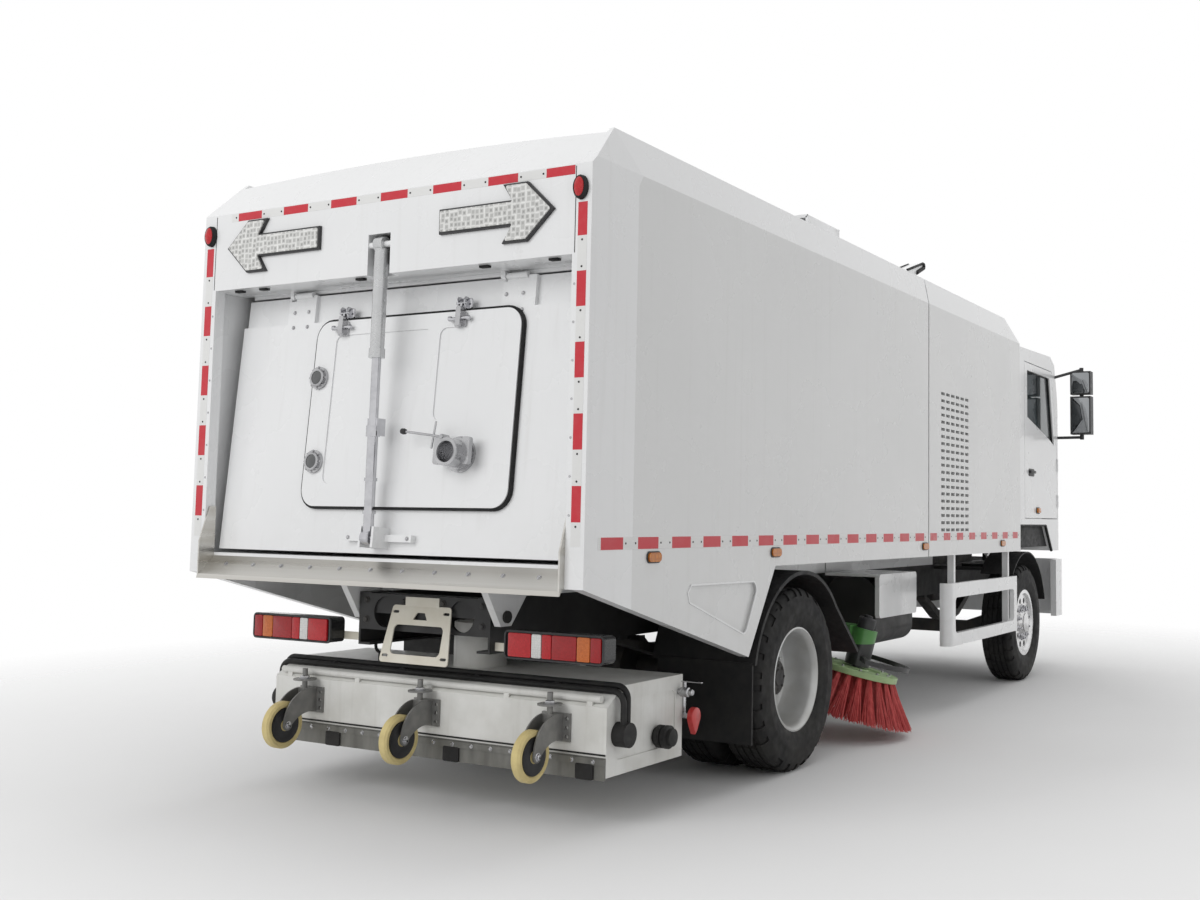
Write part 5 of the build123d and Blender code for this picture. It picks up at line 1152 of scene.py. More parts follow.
@dataclass
class TailDoor:
    """Gasket, glasses, catches, drain lever and bolts on the tail door, in the door's own plane."""

    low: Triple = (X_REAR + 0.085, 0.0, 1.250)
    top: Triple = (X_REAR + 0.200, 0.0, 2.578)
    hatch_a: float = 0.105
    hatch_b: float = 0.700
    hatch_size: Pair = (1.310, 0.948)
    face: float = 0.0266
    sights: tuple[Pair, ...] = ((-0.503, 0.880), (-0.480, 0.450))
    latches: tuple[float, ...] = (-0.365, 0.401)
    drain: Pair = (0.470, 0.476)
    catch_b: float = 1.150
    hinge_at: Pair = (0.700, 1.215)
    foot_at: Pair = (0.190, 0.075)

    def plane(self) -> Matrix:
        """The door's outer face: local X to the truck's right, local Y up the door."""
        run = Vector(self.top) - Vector(self.low)
        return frame_matrix(self.low, (0, -1, 0), (-run.z, 0, run.x))

    def on_door(self, a: float, b: float, out: float) -> Matrix:
        """A place on the door, raised off its outer face."""
        return self.plane() @ Matrix.Translation((a, b, out))

    def build(self) -> None:
        """Build the door's small pieces."""
        self.gasket()
        self.glasses()
        self.catches()
        self.lever()
        self.hinge_bolts()

    def gasket(self) -> None:
        """A black seal round the hatch."""
        seal = Bench.plate("hatch_gasket", self.hatch_size[0] + 0.026, self.hatch_size[1] + 0.026, 0.020,
                           0.103, wall=0.014, soft=0.003)
        Bench.finish(seal, RUBBER, "tail_door", self.on_door(self.hatch_a, self.hatch_b, 0.0002))

    def glasses(self) -> None:
        """Dark glasses with a clamping ring and bolts."""
        glass = Bench.lathe("sight_glass",
                            ((0.036, 0.0), (0.036, 0.003), (0.030, 0.0045), (0.010, 0.0055)), 32)
        ring = Bench.lathe("sight_ring", ((0.034, -0.006), (0.034, 0.006), (0.037, 0.0085), (0.044, 0.0085),
                                          (0.047, 0.005), (0.047, -0.006)), 32, ring=True)
        bolt = Bench.bolt("sight_bolt", 0.0048, 0.006)
        tops = [self.on_door(a, b, self.face + 0.020) for a, b in self.sights]
        ring_of_bolts = [
            self.on_door(a + 0.054 * math.cos(t), b + 0.054 * math.sin(t), self.face + 0.014)
            for a, b in self.sights for t in (k * math.pi / 4 for k in range(8))
        ]
        Bench.copies("sight_glasses", glass, tops, DARK_GLASS, "tail_door")
        Bench.copies("sight_rings", ring, tops, BRIGHT, "tail_door")
        Bench.copies("sight_bolts", bolt, ring_of_bolts, BRIGHT, "tail_door")

    def catches(self) -> None:
        """Plated screw catches that bridge the hatch's top edge."""
        base = Bench.plate("catch_base", 0.094, 0.052, 0.008, 0.010, soft=0.0015)
        Bench.place(base, Matrix.Translation((0, 0.062, -0.027)))
        legs = [Bench.outline(f"catch_leg_{k}",
                              ((0.0, 0.0), (0.070, 0.0), (0.062, 0.019), (0.016, 0.032), (0.0, 0.021)),
                              0.006, soft=0.0012) for k in range(2)]
        for k, leg in enumerate(legs):
            stand = frame_matrix((-0.024 + 0.042 * k, 0.092, -0.022), (0, -1, 0), (1, 0, 0))
            Bench.place(leg, stand @ FLIP)
        spindle = Bench.rod("catch_spindle", (0, 0.060, 0.0), (0, -0.022, 0.0075), 0.0075)
        grip = Bench.rod("catch_grip", (-0.052, -0.020, 0.0085), (0.052, -0.014, 0.0085), 0.0085)
        knobs = [Bench.lathe(f"catch_knob_{k}",
                             ((0.007, -0.011), (0.0125, -0.006), (0.0125, 0.006), (0.007, 0.011)), 16)
                 for k in range(2)]
        for k, knob in enumerate(knobs):
            Bench.place(knob, to_front(-0.056 + 0.112 * k, -0.017, 0.0085))
        pin = Bench.rod("catch_pin", (-0.032, 0.060, 0.0), (0.032, 0.060, 0.0), 0.006)
        master = Bench.join("catch", [base, *legs, spindle, grip, *knobs, pin])
        places = [self.on_door(a, self.catch_b, self.face + 0.012) for a in self.latches]
        Bench.copies("hatch_catches", master, places, CHROME, "tail_door")

    def lever(self) -> None:
        """The drain's lever with its knob, pivot and keeper."""
        a, b = self.drain
        arm = Bench.rod("drain_lever_arm", (-0.060, 0.075, 0.075), (-0.300, 0.105, 0.075), 0.006)
        fork = Bench.rod("drain_lever_fork", (-0.120, 0.020, 0.075), (-0.105, 0.150, 0.075), 0.005)
        pivot = Bench.lathe("drain_lever_pivot",
                            ((0.010, 0.030), (0.014, 0.034), (0.014, 0.078), (0.010, 0.084)), 16)
        Bench.place(pivot, Matrix.Translation((-0.062, 0.075, 0.0)))
        steel = Bench.join("drain_lever", [arm, fork, pivot])
        Bench.finish(steel, BRIGHT, "tail_door", self.on_door(a, b, self.face))
        knob = Bench.lathe("drain_knob", ((0.007, -0.018), (0.013, -0.012), (0.015, 0.0), (0.013, 0.012),
                                          (0.006, 0.018)), 20)
        Bench.finish(knob, PLASTIC, "tail_door", self.on_door(a - 0.302, b + 0.105, self.face + 0.075))
        lip = Bench.lathe("drain_lip",
                          ((0.051, 0.0), (0.051, 0.006), (0.058, 0.009), (0.066, 0.006), (0.067, 0.0)),
                          40, ring=True)
        Bench.finish(lip, BRIGHT, "tail_door", self.on_door(a, b, self.face + 0.110))
        bolt = Bench.bolt("drain_bolt", 0.0055, 0.007)
        places = [self.on_door(a + 0.077 * math.cos(t), b + 0.077 * math.sin(t), self.face + 0.014)
                  for t in (math.radians(60 * k + 90) for k in range(6))]
        Bench.copies("drain_bolts", bolt, places, BRIGHT, "tail_door")

    def hinge_bolts(self) -> None:
        """Bolts on the hinge straps and the cylinder's foot bar."""
        bolt = Bench.bolt("door_bolt", 0.008, 0.008)
        a, b = self.hinge_at
        foot_a, foot_b = self.foot_at
        places = [self.on_door(side * (a + da) - 0.012, b + db, 0.0)
                  for side in (-1, 1) for da in (-0.05, 0.05) for db in (-0.05, 0.03)]
        places += [self.on_door(side * foot_a, foot_b, 0.034) for side in (-1, 1)]
        Bench.copies("door_bolts", bolt, places, BRIGHT, "tail_door")


@dataclass
class Lamps:
    """Backings, rims and lens segments of the lamps."""

    arrow_z: float = 2.820
    tip: float = 1.040
    tail: float = 0.400
    nose: float = 0.138
    neck: float = 0.212
    barb: float = 0.258
    shaft: float = 0.050
    wing: float = 0.128
    marker_y: float = 1.195
    side_z: float = 1.260
    head_y: float = 0.900
    head_z: float = 0.860
    tail_lamp_x: float = -3.965
    tail_lamp_z: float = 0.835
    tail_lamp_y: float = 0.8525
    tail_lamp_edge: float = 1.126
    grow: float = 0.010

    def build(self) -> None:
        """Build the lamps' small pieces."""
        self.arrow_backs()
        self.marker_rims()
        self.side_bases()
        self.tail_lenses()
        self.headlamp_lenses()

    def arrow_backs(self) -> None:
        """Black backings that frame the arrows."""
        g = self.grow
        half = self.shaft + g
        wing = self.wing + g
        upper = ((self.tip - self.nose + 0.4 * g, wing), (self.tip - self.barb - 1.7 * g, wing),
                 (self.tip - self.neck - g, half), (self.tail - g, half))
        shape = ((self.tip + 1.5 * g, 0.0), *upper, *((a, -b) for a, b in reversed(upper)))
        for side in Side:
            back = Bench.outline(f"arrow_back_{side.word}", shape, 0.017, soft=0.0025)
            stand = frame_matrix((X_REAR, 0, self.arrow_z), (0, side.value, 0), (-1, 0, 0))
            Bench.finish(back, PLASTIC, "hopper", stand)

    def marker_rims(self) -> None:
        """Red lenses in rubber rims on the posts."""
        for side in Side:
            place = to_rear(X_REAR, side.value * self.marker_y, self.arrow_z + 0.080)
            lens = Bench.lathe(f"marker_lens_{side.word}", ((0.026, 0.010), (0.026, 0.026), (0.020, 0.033),
                                                            (0.008, 0.036)), 32)
            Bench.finish(lens, RED_LENS, "hopper", place @ Matrix.Diagonal((1.0, 1.69, 1.0, 1.0)))
            rim = Bench.lathe(f"marker_rim_{side.word}", ((0.0255, 0.0), (0.0255, 0.024), (0.031, 0.027),
                                                          (0.036, 0.018), (0.037, 0.0)), 32, ring=True)
            Bench.finish(rim, RUBBER, "hopper", place @ Matrix.Diagonal((1.0, 1.5, 1.0, 1.0)))

    def side_bases(self) -> None:
        """Dark seats under the amber side lamps."""
        rows = (("hopper", (X_REAR + 0.569, X_REAR + 1.859, X_HOPPER_FRONT - 0.069)), ("chassis", (1.912,)))
        for body, xs in rows:
            base = Bench.plate(f"side_lamp_base_{body}", 0.124, 0.056, 0.006, 0.024, wall=0.007, soft=0.0012)
            places = [to_side(side, x, HALF, self.side_z) for x in xs for side in Side]
            Bench.copies(f"side_lamp_bases_{body}", base, places, PLASTIC, body)

    def tail_lenses(self) -> None:
        """Six ribbed lenses on each black tail lamp, outer one first."""
        rows = ((0.062, DEEP_RED), (0.076, ORANGE_LENS), (0.142, DEEP_RED), (0.058, RED_LENS),
                (0.060, CLEAR_LENS), (0.138, RED_LENS))
        for side in Side:
            y = self.tail_lamp_edge
            for index, (width, finish) in enumerate(rows):
                lens = Bench.plate(f"tail_lens_{side.word}_{index}", width - 0.004, 0.112, 0.012, 0.008,
                                   soft=0.003)
                place = to_rear(self.tail_lamp_x, side.value * (y - width / 2), self.tail_lamp_z)
                Bench.finish(lens, finish, "chassis", place)
                y -= width
            rim = Bench.plate(f"tail_lamp_rim_{side.word}", 0.571, 0.136, 0.010, 0.024, wall=0.009,
                              soft=0.002)
            Bench.finish(rim, PLASTIC, "chassis",
                         to_rear(self.tail_lamp_x, side.value * self.tail_lamp_y, self.tail_lamp_z))

    def headlamp_lenses(self) -> None:
        """Bright bowls and a rim in each headlamp pocket."""
        bowl = Bench.lathe("headlamp_bowl", ((0.075, 0.0), (0.075, 0.010), (0.066, 0.012), (0.050, 0.004),
                                             (0.022, 0.002), (0.020, 0.010), (0.012, 0.014)), 32)
        rim = Bench.plate("headlamp_rim", 0.330, 0.200, 0.016, 0.012, wall=0.012, soft=0.003)
        face = X_CAB_FRONT + 0.050
        bowls = [to_front(face, side.value * self.head_y + dy, self.head_z)
                 for side in Side for dy in (-0.078, 0.078)]
        rims = [to_front(face, side.value * self.head_y, self.head_z) for side in Side]
        Bench.copies("headlamp_bowls", bowl, bowls, CHROME, "chassis")
        Bench.copies("headlamp_rims", rim, rims, PLASTIC, "chassis")


@dataclass
class Wheels:
    """Tyres with road tread, rear rims, wheel nuts and hub caps."""

    radius: float = 0.522
    bead: float = 0.288
    groove: float = 0.011
    steps: int = 90
    rim_steps: int = 60
    nuts: int = 10
    smooth: float = 28.0
    front_y: float = 1.030
    rear_y: Pair = (1.085, 0.745)
    dish: tuple[Pair, ...] = (
        (0.298, -0.123), (0.286, -0.110), (0.286, 0.110), (0.298, 0.123), (0.289, 0.125), (0.274, 0.112),
        (0.266, 0.086), (0.262, 0.020), (0.256, -0.045), (0.243, -0.074), (0.222, -0.086), (0.192, -0.089),
        (0.186, -0.083), (0.128, -0.083), (0.120, -0.078), (0.114, -0.030), (0.098, -0.018), (0.030, -0.018),
        (0.030, -0.107), (0.225, -0.107), (0.250, -0.112), (0.272, -0.123),
    )

    def tyre(self, name: str) -> Piece:
        """A tyre about Z with ribs, grooves and notched shoulders.

        Args:
            name: The object's name.

        Returns:
            The tyre.
        """
        r, g = self.radius, self.groove
        side = ((self.bead, -0.112), (0.300, -0.124), (0.330, -0.136), (0.385, -0.1445), (0.400, -0.1455),
                (0.405, -0.1440), (0.450, -0.142), (0.478, -0.137), (0.497, -0.129), (0.511, -0.119),
                (r, -0.102))
        ribs = []
        for middle in (-0.066, -0.022, 0.022, 0.066):
            ribs += [(r, middle - 0.006), (r - g, middle - 0.004), (r - g, middle + 0.004),
                     (r, middle + 0.006)]
        profile = (*side, *ribs, *[(radius, -z) for radius, z in reversed(side)])
        tyre = Bench.lathe(name, profile, self.steps, ring=True)

        def shoulder(face: bpy.types.MeshPolygon) -> bool:
            """Faces that sink as notches in the shoulders."""
            turn, out = polar(face, self.steps)
            wide = abs(face.center.z)
            return turn % 3 == 0 and ((0.100 > wide > 0.074 and out > r - 0.004)
                                      or (wide > 0.102 and out > 0.487))

        Bench.pick_faces(tyre, shoulder)
        bpy.ops.mesh.extrude_region_shrink_fatten(TRANSFORM_OT_shrink_fatten={"value": -g * 0.9})
        Bench.close()

        def sipe(face: bpy.types.MeshPolygon) -> bool:
            """Faces that sink as cuts in the middle ribs."""
            turn, out = polar(face, self.steps)
            return turn % 3 == 1 and abs(face.center.z) < 0.062 and out > r - 0.003

        Bench.pick_faces(tyre, sipe)
        bpy.ops.mesh.inset(thickness=0.004)
        bpy.ops.transform.shrink_fatten(value=-0.006)
        Bench.close()
        return tyre

    def nut(self, name: str) -> Piece:
        """A wheel nut on its stud."""
        nut = Bench.bolt(f"{name}_nut", 0.019, 0.026)
        stud = Bench.lathe(f"{name}_stud", ((0.010, 0.020), (0.010, 0.040), (0.007, 0.043)), 10)
        return Bench.join(name, [nut, stud])

    def axle_frame(self, centre: Vector, y: float, side: Side) -> Matrix:
        """A wheel's middle, with local Z outwards."""
        return frame_matrix((centre.x, side.value * y, centre.z), (1, 0, 0), (0, side.value, 0))

    def build(self) -> None:
        """Build the wheels' pieces."""
        master = self.tyre("tyre_master")
        for side in Side:
            front = Bench.place(Bench.twin(master, f"tyre_front_{side.word}_tread"),
                                self.axle_frame(FRONT_AXLE, self.front_y, side))
            Bench.finish(front, TYRE, f"front_wheel_{side.word}", angle=self.smooth)
            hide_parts(f"tyre_front_{side.word}")
            pair = [Bench.place(Bench.twin(master, f"tyre_rear_{side.word}_{k}"),
                                self.axle_frame(REAR_AXLE, y, side)) for k, y in enumerate(self.rear_y)]
            rear = Bench.join(f"tyres_rear_{side.word}_tread", pair)
            Bench.finish(rear, TYRE, f"rear_wheels_{side.word}", angle=self.smooth)
            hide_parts(f"tyres_rear_{side.word}")
            self.front_hub(side)
            self.rear_rims(side)
            self.rear_hub(side)
        bpy.data.objects.remove(master)

    def rear_rims(self, side: Side) -> None:
        """Deep dished twin rims, disc to disc, on their drum."""
        dish = Bench.lathe(f"rim_dish_{side.word}", self.dish, self.rim_steps, ring=True)

        def hand_hole(face: bpy.types.MeshPolygon) -> bool:
            """Faces that sink as hand holes in the disc."""
            turn, out = polar(face, self.rim_steps)
            return turn % 6 < 2 and 0.194 < out < 0.220 and abs(face.center.z + 0.087) < 0.004

        Bench.pick_faces(dish, hand_hole)
        bpy.ops.mesh.extrude_region_shrink_fatten(TRANSFORM_OT_shrink_fatten={"value": -0.014})
        Bench.close()
        apart = self.rear_y[1] - self.rear_y[0]
        inner = Bench.place(Bench.twin(dish, f"rim_inner_{side.word}"),
                            Matrix.Translation((0, 0, apart)) @ Matrix.Diagonal((1.0, 1.0, -1.0, 1.0)))
        drum = Bench.lathe(f"rim_drum_{side.word}",
                           ((0.196, apart - 0.020), (0.205, apart - 0.010), (0.205, apart + 0.085),
                            (0.150, apart + 0.170), (0.150, -0.100)), 48)
        rims = Bench.place(Bench.join(f"rims_rear_{side.word}_dish", [dish, inner, drum]),
                           self.axle_frame(REAR_AXLE, self.rear_y[0], side))
        Bench.finish(rims, RIM_STEEL, f"rear_wheels_{side.word}")
        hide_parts(f"rims_rear_{side.word}")

    def front_hub(self, side: Side) -> None:
        """Ten nuts and a domed cap on a front wheel."""
        hub = self.axle_frame(FRONT_AXLE, self.front_y, side)
        ring = Bench.ring(hub, self.nuts, 0.140, 0.100, start=18.0)
        body = f"front_wheel_{side.word}"
        Bench.copies(f"front_nuts_{side.word}", self.nut("front_nut"), ring, CHROME, body)
        cap = Bench.lathe(f"front_cap_{side.word}",
                          ((0.086, 0.118), (0.086, 0.140), (0.074, 0.146), (0.060, 0.147), (0.052, 0.153),
                           (0.020, 0.156)), 36)
        Bench.finish(cap, ALLOY, body, hub)

    def rear_hub(self, side: Side) -> None:
        """Ten nuts and an end cap with bolts on the rear wheels."""
        hub = self.axle_frame(REAR_AXLE, self.rear_y[0], side)
        ring = Bench.ring(hub, self.nuts, 0.158, -0.083)
        body = f"rear_wheels_{side.word}"
        Bench.copies(f"rear_nuts_{side.word}", self.nut("rear_nut"), ring, RIM_STEEL, body)
        cap = Bench.lathe(f"rear_cap_{side.word}",
                          ((0.098, -0.020), (0.098, -0.006), (0.086, 0.002), (0.050, 0.004),
                           (0.046, 0.012), (0.018, 0.014)), 36)
        Bench.finish(cap, IRON, body, hub)
        bolts = Bench.ring(hub, 8, 0.070, 0.001)
        Bench.copies(f"rear_cap_bolts_{side.word}", Bench.bolt("cap_bolt", 0.009, 0.009), bolts, IRON, body)


@dataclass
class Brushes:
    """Side brushes of red tufts under a pale green plate, and their motors."""

    middle: Triple = (-0.740, 1.020, 0.455)
    tilt: float = 14.0
    outward: Pair = (0.5, 0.866)
    rings: tuple[tuple[int, float, float], ...] = ((24, 0.262, 0.432), (18, 0.205, 0.330))
    strands: int = 34
    spread: float = 2.4
    root: float = 0.012
    fan: Pair = (0.020, 0.043)
    drop: float = 0.318
    hidden: float = 0.034
    kinds: int = 3
    seed: int = 7

    def frame(self, side: Side) -> Matrix:
        """The brush's axis frame, mirrored on the right."""
        t = math.radians(self.tilt)
        ahead, out = self.outward
        lean = (math.sin(t) * ahead, math.sin(t) * out, math.cos(t))
        matrix = frame_matrix(self.middle, (out, -ahead, 0.0), lean)
        return matrix if side is Side.LEFT else FLIP @ matrix

    def tuft(self, name: str, inner: float, outer: float, dice: random.Random) -> Piece:
        """One tuft at the ring's front that flares outwards as it falls.

        Args:
            name: The object's name.
            inner: Radius at the plate.
            outer: Radius at the tips.
            dice: The source of small differences.

        Returns:
            The tuft.
        """
        parts = []
        for k in range(self.strands):
            strand = Bench.lathe(f"{name}_{k}", ((0.0034, -self.hidden), (0.0038, -0.13), (0.0038, -0.23),
                                                 (0.0026, -self.drop)), 4)
            turn = self.spread * k
            away = math.sqrt((k + 0.5) / self.strands)
            u, v = away * math.cos(turn), away * math.sin(turn)
            start = Vector((inner + self.root * u, self.root * v, 0.0))
            reach = outer - inner + self.fan[0] * u + dice.uniform(-0.006, 0.006)
            sway = self.fan[1] * v + dice.uniform(-0.004, 0.004)
            short = dice.uniform(0.95, 1.0)
            for vertex in strand.data.vertices:
                fall = min(1.0, max(0.0, (-vertex.co.z - self.hidden) / (self.drop - self.hidden)))
                ease = fall ** 1.12
                vertex.co.x += start.x + reach * ease
                vertex.co.y += start.y + sway * ease
                vertex.co.z *= short
            parts.append(strand)
        return Bench.join(name, parts)

    def build(self) -> None:
        """Build both brushes."""
        dice = random.Random(self.seed)
        masters = [[self.tuft(f"tuft_{row}_{k}", inner, outer, dice) for k in range(self.kinds)]
                   for row, (_, inner, outer) in enumerate(self.rings)]
        for side in Side:
            self.brush(side, masters)
        for row in masters:
            for master in row:
                bpy.data.objects.remove(master)

    def brush(self, side: Side, masters: Sequence[Sequence[Piece]]) -> None:
        """One brush: tufts, plate, bolts and the motor's hood.

        Args:
            side: Which side of the truck.
            masters: Tufts of each ring to copy.
        """
        base = self.frame(side)
        tufts = []
        for row, (count, _, _) in enumerate(self.rings):
            for k in range(count):
                turn = Matrix.Rotation(2 * math.pi * (k + 0.5 * row) / count, 4, "Z")
                copy = Bench.twin(masters[row][k % self.kinds], f"tuft_{side.word}_{row}_{k}")
                tufts.append(Bench.place(copy, base @ turn))
        bristles = Bench.join(f"brush_tufts_{side.word}", tufts)
        Bench.finish(bristles, BRISTLE, f"brush_{side.word}")
        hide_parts(f"brush_{side.word}")
        plate = Bench.lathe(f"brush_plate_{side.word}",
                            ((0.026, -0.040), (0.288, -0.040), (0.290, -0.034), (0.290, -0.006),
                             (0.284, 0.0), (0.170, 0.0), (0.160, -0.012), (0.090, -0.012), (0.082, 0.0),
                             (0.026, 0.0)), 48, ring=True)
        Bench.finish(plate, PALE_GREEN, f"brush_{side.word}", base)
        bolts = Bench.ring(base, 12, 0.235, 0.0)
        Bench.copies(f"brush_bolts_{side.word}", Bench.bolt("brush_bolt", 0.009, 0.009), bolts, BRIGHT,
                     f"brush_{side.word}")
        hood = Bench.lathe(f"brush_motor_{side.word}", ((0.060, 0.262), (0.060, 0.330), (0.052, 0.338),
                                                        (0.030, 0.338), (0.030, 0.352), (0.014, 0.356)), 28)
        Bench.finish(hood, PLASTIC, f"brush_arm_{side.word}", base)


@dataclass
class NozzleKit:
    """Bolts, patches, covers, valve and castor hubs of the suction nozzle."""

    rear: float = NOZZLE_X - 0.0183
    castors: tuple[float, ...] = (-0.8, 0.0, 0.8)
    castor_at: Pair = (-4.055, 0.345)
    half: float = 1.080
    strip_z: float = 0.313
    cover_at: Pair = (-3.149, 0.440)
    coupling_at: Pair = (-3.400, 0.372)
    valve_at: Pair = (-3.200, 0.566)
    eye_at: Triple = (NOZZLE_X + 0.200, 0.520, 0.735)

    def build(self) -> None:
        """Build the nozzle's small pieces."""
        self.strip_bolts()
        self.patches()
        self.covers()
        self.valve()
        self.castor_hubs()
        self.eye()

    def eye(self) -> None:
        """A black lifting ring on its stem, on the hood's left half."""
        ring = Bench.lathe("nozzle_ring", ((0.030, -0.006), (0.036, -0.009), (0.042, -0.006), (0.042, 0.006),
                                           (0.036, 0.009), (0.030, 0.006)), 28, ring=True)
        Bench.place(ring, frame_matrix(self.eye_at, (0, 1, 0), (-1, 0, 0)))
        x, y, _ = self.eye_at
        stem = Bench.rod("nozzle_ring_stem", (x, y, 0.650), (x, y, 0.703), 0.012)
        Bench.finish(Bench.join("nozzle_eye", [ring, stem]), RUBBER, "nozzle")

    def strip_bolts(self) -> None:
        """Bolts along the skirt's clamping strip."""
        places = [to_rear(self.rear, -1.02 + 0.12 * k, self.strip_z) for k in range(18)]
        Bench.copies("skirt_bolts", Bench.bolt("skirt_bolt", 0.008, 0.008), places, BRIGHT, "nozzle")
        edge = Bench.block("hood_seam", (0.004, 2.156, 0.008), (NOZZLE_X - 0.002, 0.0, 0.344), soft=0.001)
        Bench.finish(edge, RUBBER, "nozzle")

    def patches(self) -> None:
        """Rubber patches on the skirt behind the castors."""
        patch = Bench.plate("skirt_patch", 0.100, 0.074, 0.010, 0.010, soft=0.002)
        places = [to_rear(NOZZLE_X - 0.0098, y - 0.17, 0.264) for y in self.castors]
        Bench.copies("skirt_patches", patch, places, RUBBER, "nozzle")

    def covers(self) -> None:
        """A red cover at each end of the hood, on a short bracket."""
        dome = [(0.047 * math.cos(math.radians(t)), 0.047 * math.sin(math.radians(t)))
                for t in range(-20, 201, 20)]
        cover = Bench.outline("end_cover", (*dome, (-0.030, -0.046), (-0.006, -0.088), (0.012, -0.070)),
                              0.030, soft=0.006)
        stem = Bench.lathe("end_stem", ((0.014, -0.050), (0.014, 0.002), (0.012, 0.003)), 14)
        arm = Bench.block("end_arm", (0.026, 0.110, 0.010), (0.0, 0.046, -0.045), soft=0.002)
        carrier = Bench.join("end_carrier", [stem, arm])
        places = [to_side(side, self.cover_at[0], self.half + 0.050, self.cover_at[1]) for side in Side]
        Bench.copies("end_covers", cover, places, RED_PAINT, "nozzle")
        Bench.copies("end_carriers", carrier, places, BRIGHT, "nozzle")
        coupling = Bench.lathe("end_coupling",
                               ((0.044, 0.0), (0.044, 0.014), (0.056, 0.016), (0.056, 0.044),
                                (0.049, 0.046), (0.049, 0.054), (0.057, 0.056), (0.057, 0.078),
                                (0.043, 0.082), (0.043, 0.100), (0.030, 0.104)), 28)
        ends = [to_side(side, self.coupling_at[0], self.half - 0.006, self.coupling_at[1]) for side in Side]
        Bench.copies("end_couplings", coupling, ends, RUBBER, "nozzle")

    def valve(self) -> None:
        """A small lever valve on the right end of the hood."""
        body = Bench.lathe("valve_body",
                           ((0.016, 0.0), (0.016, 0.012), (0.024, 0.016), (0.026, 0.040), (0.024, 0.060),
                            (0.016, 0.064), (0.016, 0.082), (0.012, 0.086)), 20)
        spindle = Bench.rod("valve_spindle", (0.0, 0.020, 0.038), (0.0, 0.052, 0.038), 0.008)
        handle = Bench.block("valve_handle", (0.016, 0.006, 0.120), (0.0, 0.053, 0.078), soft=0.002)
        valve = Bench.join("lever_valve", [body, spindle, handle])
        x, z = self.valve_at
        Bench.finish(valve, BRIGHT, "nozzle", to_side(Side.RIGHT, x, self.half, z))

    def castor_hubs(self) -> None:
        """Black hubs in the castors, and bolts through the forks."""
        x, z = self.castor_at
        for y, name in zip(self.castors, ("right", "middle", "left")):
            hub = Bench.lathe(f"castor_hub_{name}", ((0.031, -0.0250), (0.040, -0.0220), (0.080, -0.0200),
                                                     (0.088, -0.0245), (0.088, 0.0245), (0.080, 0.0200),
                                                     (0.040, 0.0220), (0.031, 0.0250)), 36, ring=True)
            Bench.finish(hub, PLASTIC, f"castor_{name}", frame_matrix((x, y, z), (1, 0, 0), (0, 1, 0)))
        bolts = [to_side(side, x, side.value * y + 0.042, z) for y in self.castors for side in Side]
        Bench.copies("castor_bolts", Bench.bolt("castor_bolt", 0.015, 0.012), bolts, CHROME, "nozzle")
        nuts = [Matrix.Translation((NOZZLE_X - 0.062, y, 0.568)) for y in self.castors]
        Bench.copies("screw_nuts", Bench.bolt("screw_nut", 0.024, 0.016), nuts, BRIGHT, "nozzle")


@dataclass
class RearEnd:
    """Bolts, screws, stops, lintel and seams round the chute and rear frame."""

    chute_top: Pair = (X_REAR + 0.020, 1.1752)
    slope: Triple = (-0.699, 0.0, 0.715)
    screw_y: float = 1.165
    seam_y: float = 1.163
    soffit_z: float = 2.600

    def build(self) -> None:
        """Build the rear end's small pieces."""
        x, z = self.chute_top
        places = [frame_matrix((x, -1.0 + 0.2 * k, z), (0, -1, 0), self.slope) for k in range(11)]
        Bench.copies("chute_bolts", Bench.bolt("chute_bolt", 0.009, 0.008), places, BRIGHT, "hopper")
        screws = [to_rear(X_REAR, side.value * self.screw_y, 1.45 + 0.17 * k)
                  for side in Side for k in range(7)]
        head = Bench.lathe("post_screw", ((0.006, 0.0), (0.006, 0.0015), (0.003, 0.0028)), 10)
        Bench.copies("post_screws", head, screws, BRIGHT, "hopper")
        stop = Bench.block("soffit_stop", (0.030, 0.052, 0.012), soft=0.003)
        stops = [Matrix.Translation((X_REAR + 0.050, y, self.soffit_z))
                 for y in (1.02, 0.84, 0.16, -0.62, -1.02)]
        Bench.copies("soffit_stops", stop, stops, RUBBER, "hopper")
        lintel = Bench.block("door_lintel", (0.030, 2.240, 0.074), (X_REAR + 0.245, 0.0, 2.624), soft=0.004)
        Bench.finish(lintel, WHITE, "hopper")
        seam = Bench.block("header_seam", (0.0012, 0.004, 0.392), soft=0.0004, steps=1)
        seams = [Matrix.Translation((X_REAR - 0.0004, side.value * self.seam_y, 2.806)) for side in Side]
        Bench.copies("header_seams", seam, seams, RUBBER, "hopper")
        rails = [to_rear(X_REAR + 0.400, side.value * y, z)
                 for side in Side for y, z in ((0.38, 1.00), (0.38, 0.90), (0.13, 1.00), (0.13, 0.90))]
        Bench.copies("cross_member_bolts", Bench.bolt("frame_bolt", 0.014, 0.012), rails, IRON, "chassis",
                     slot="black_paint")


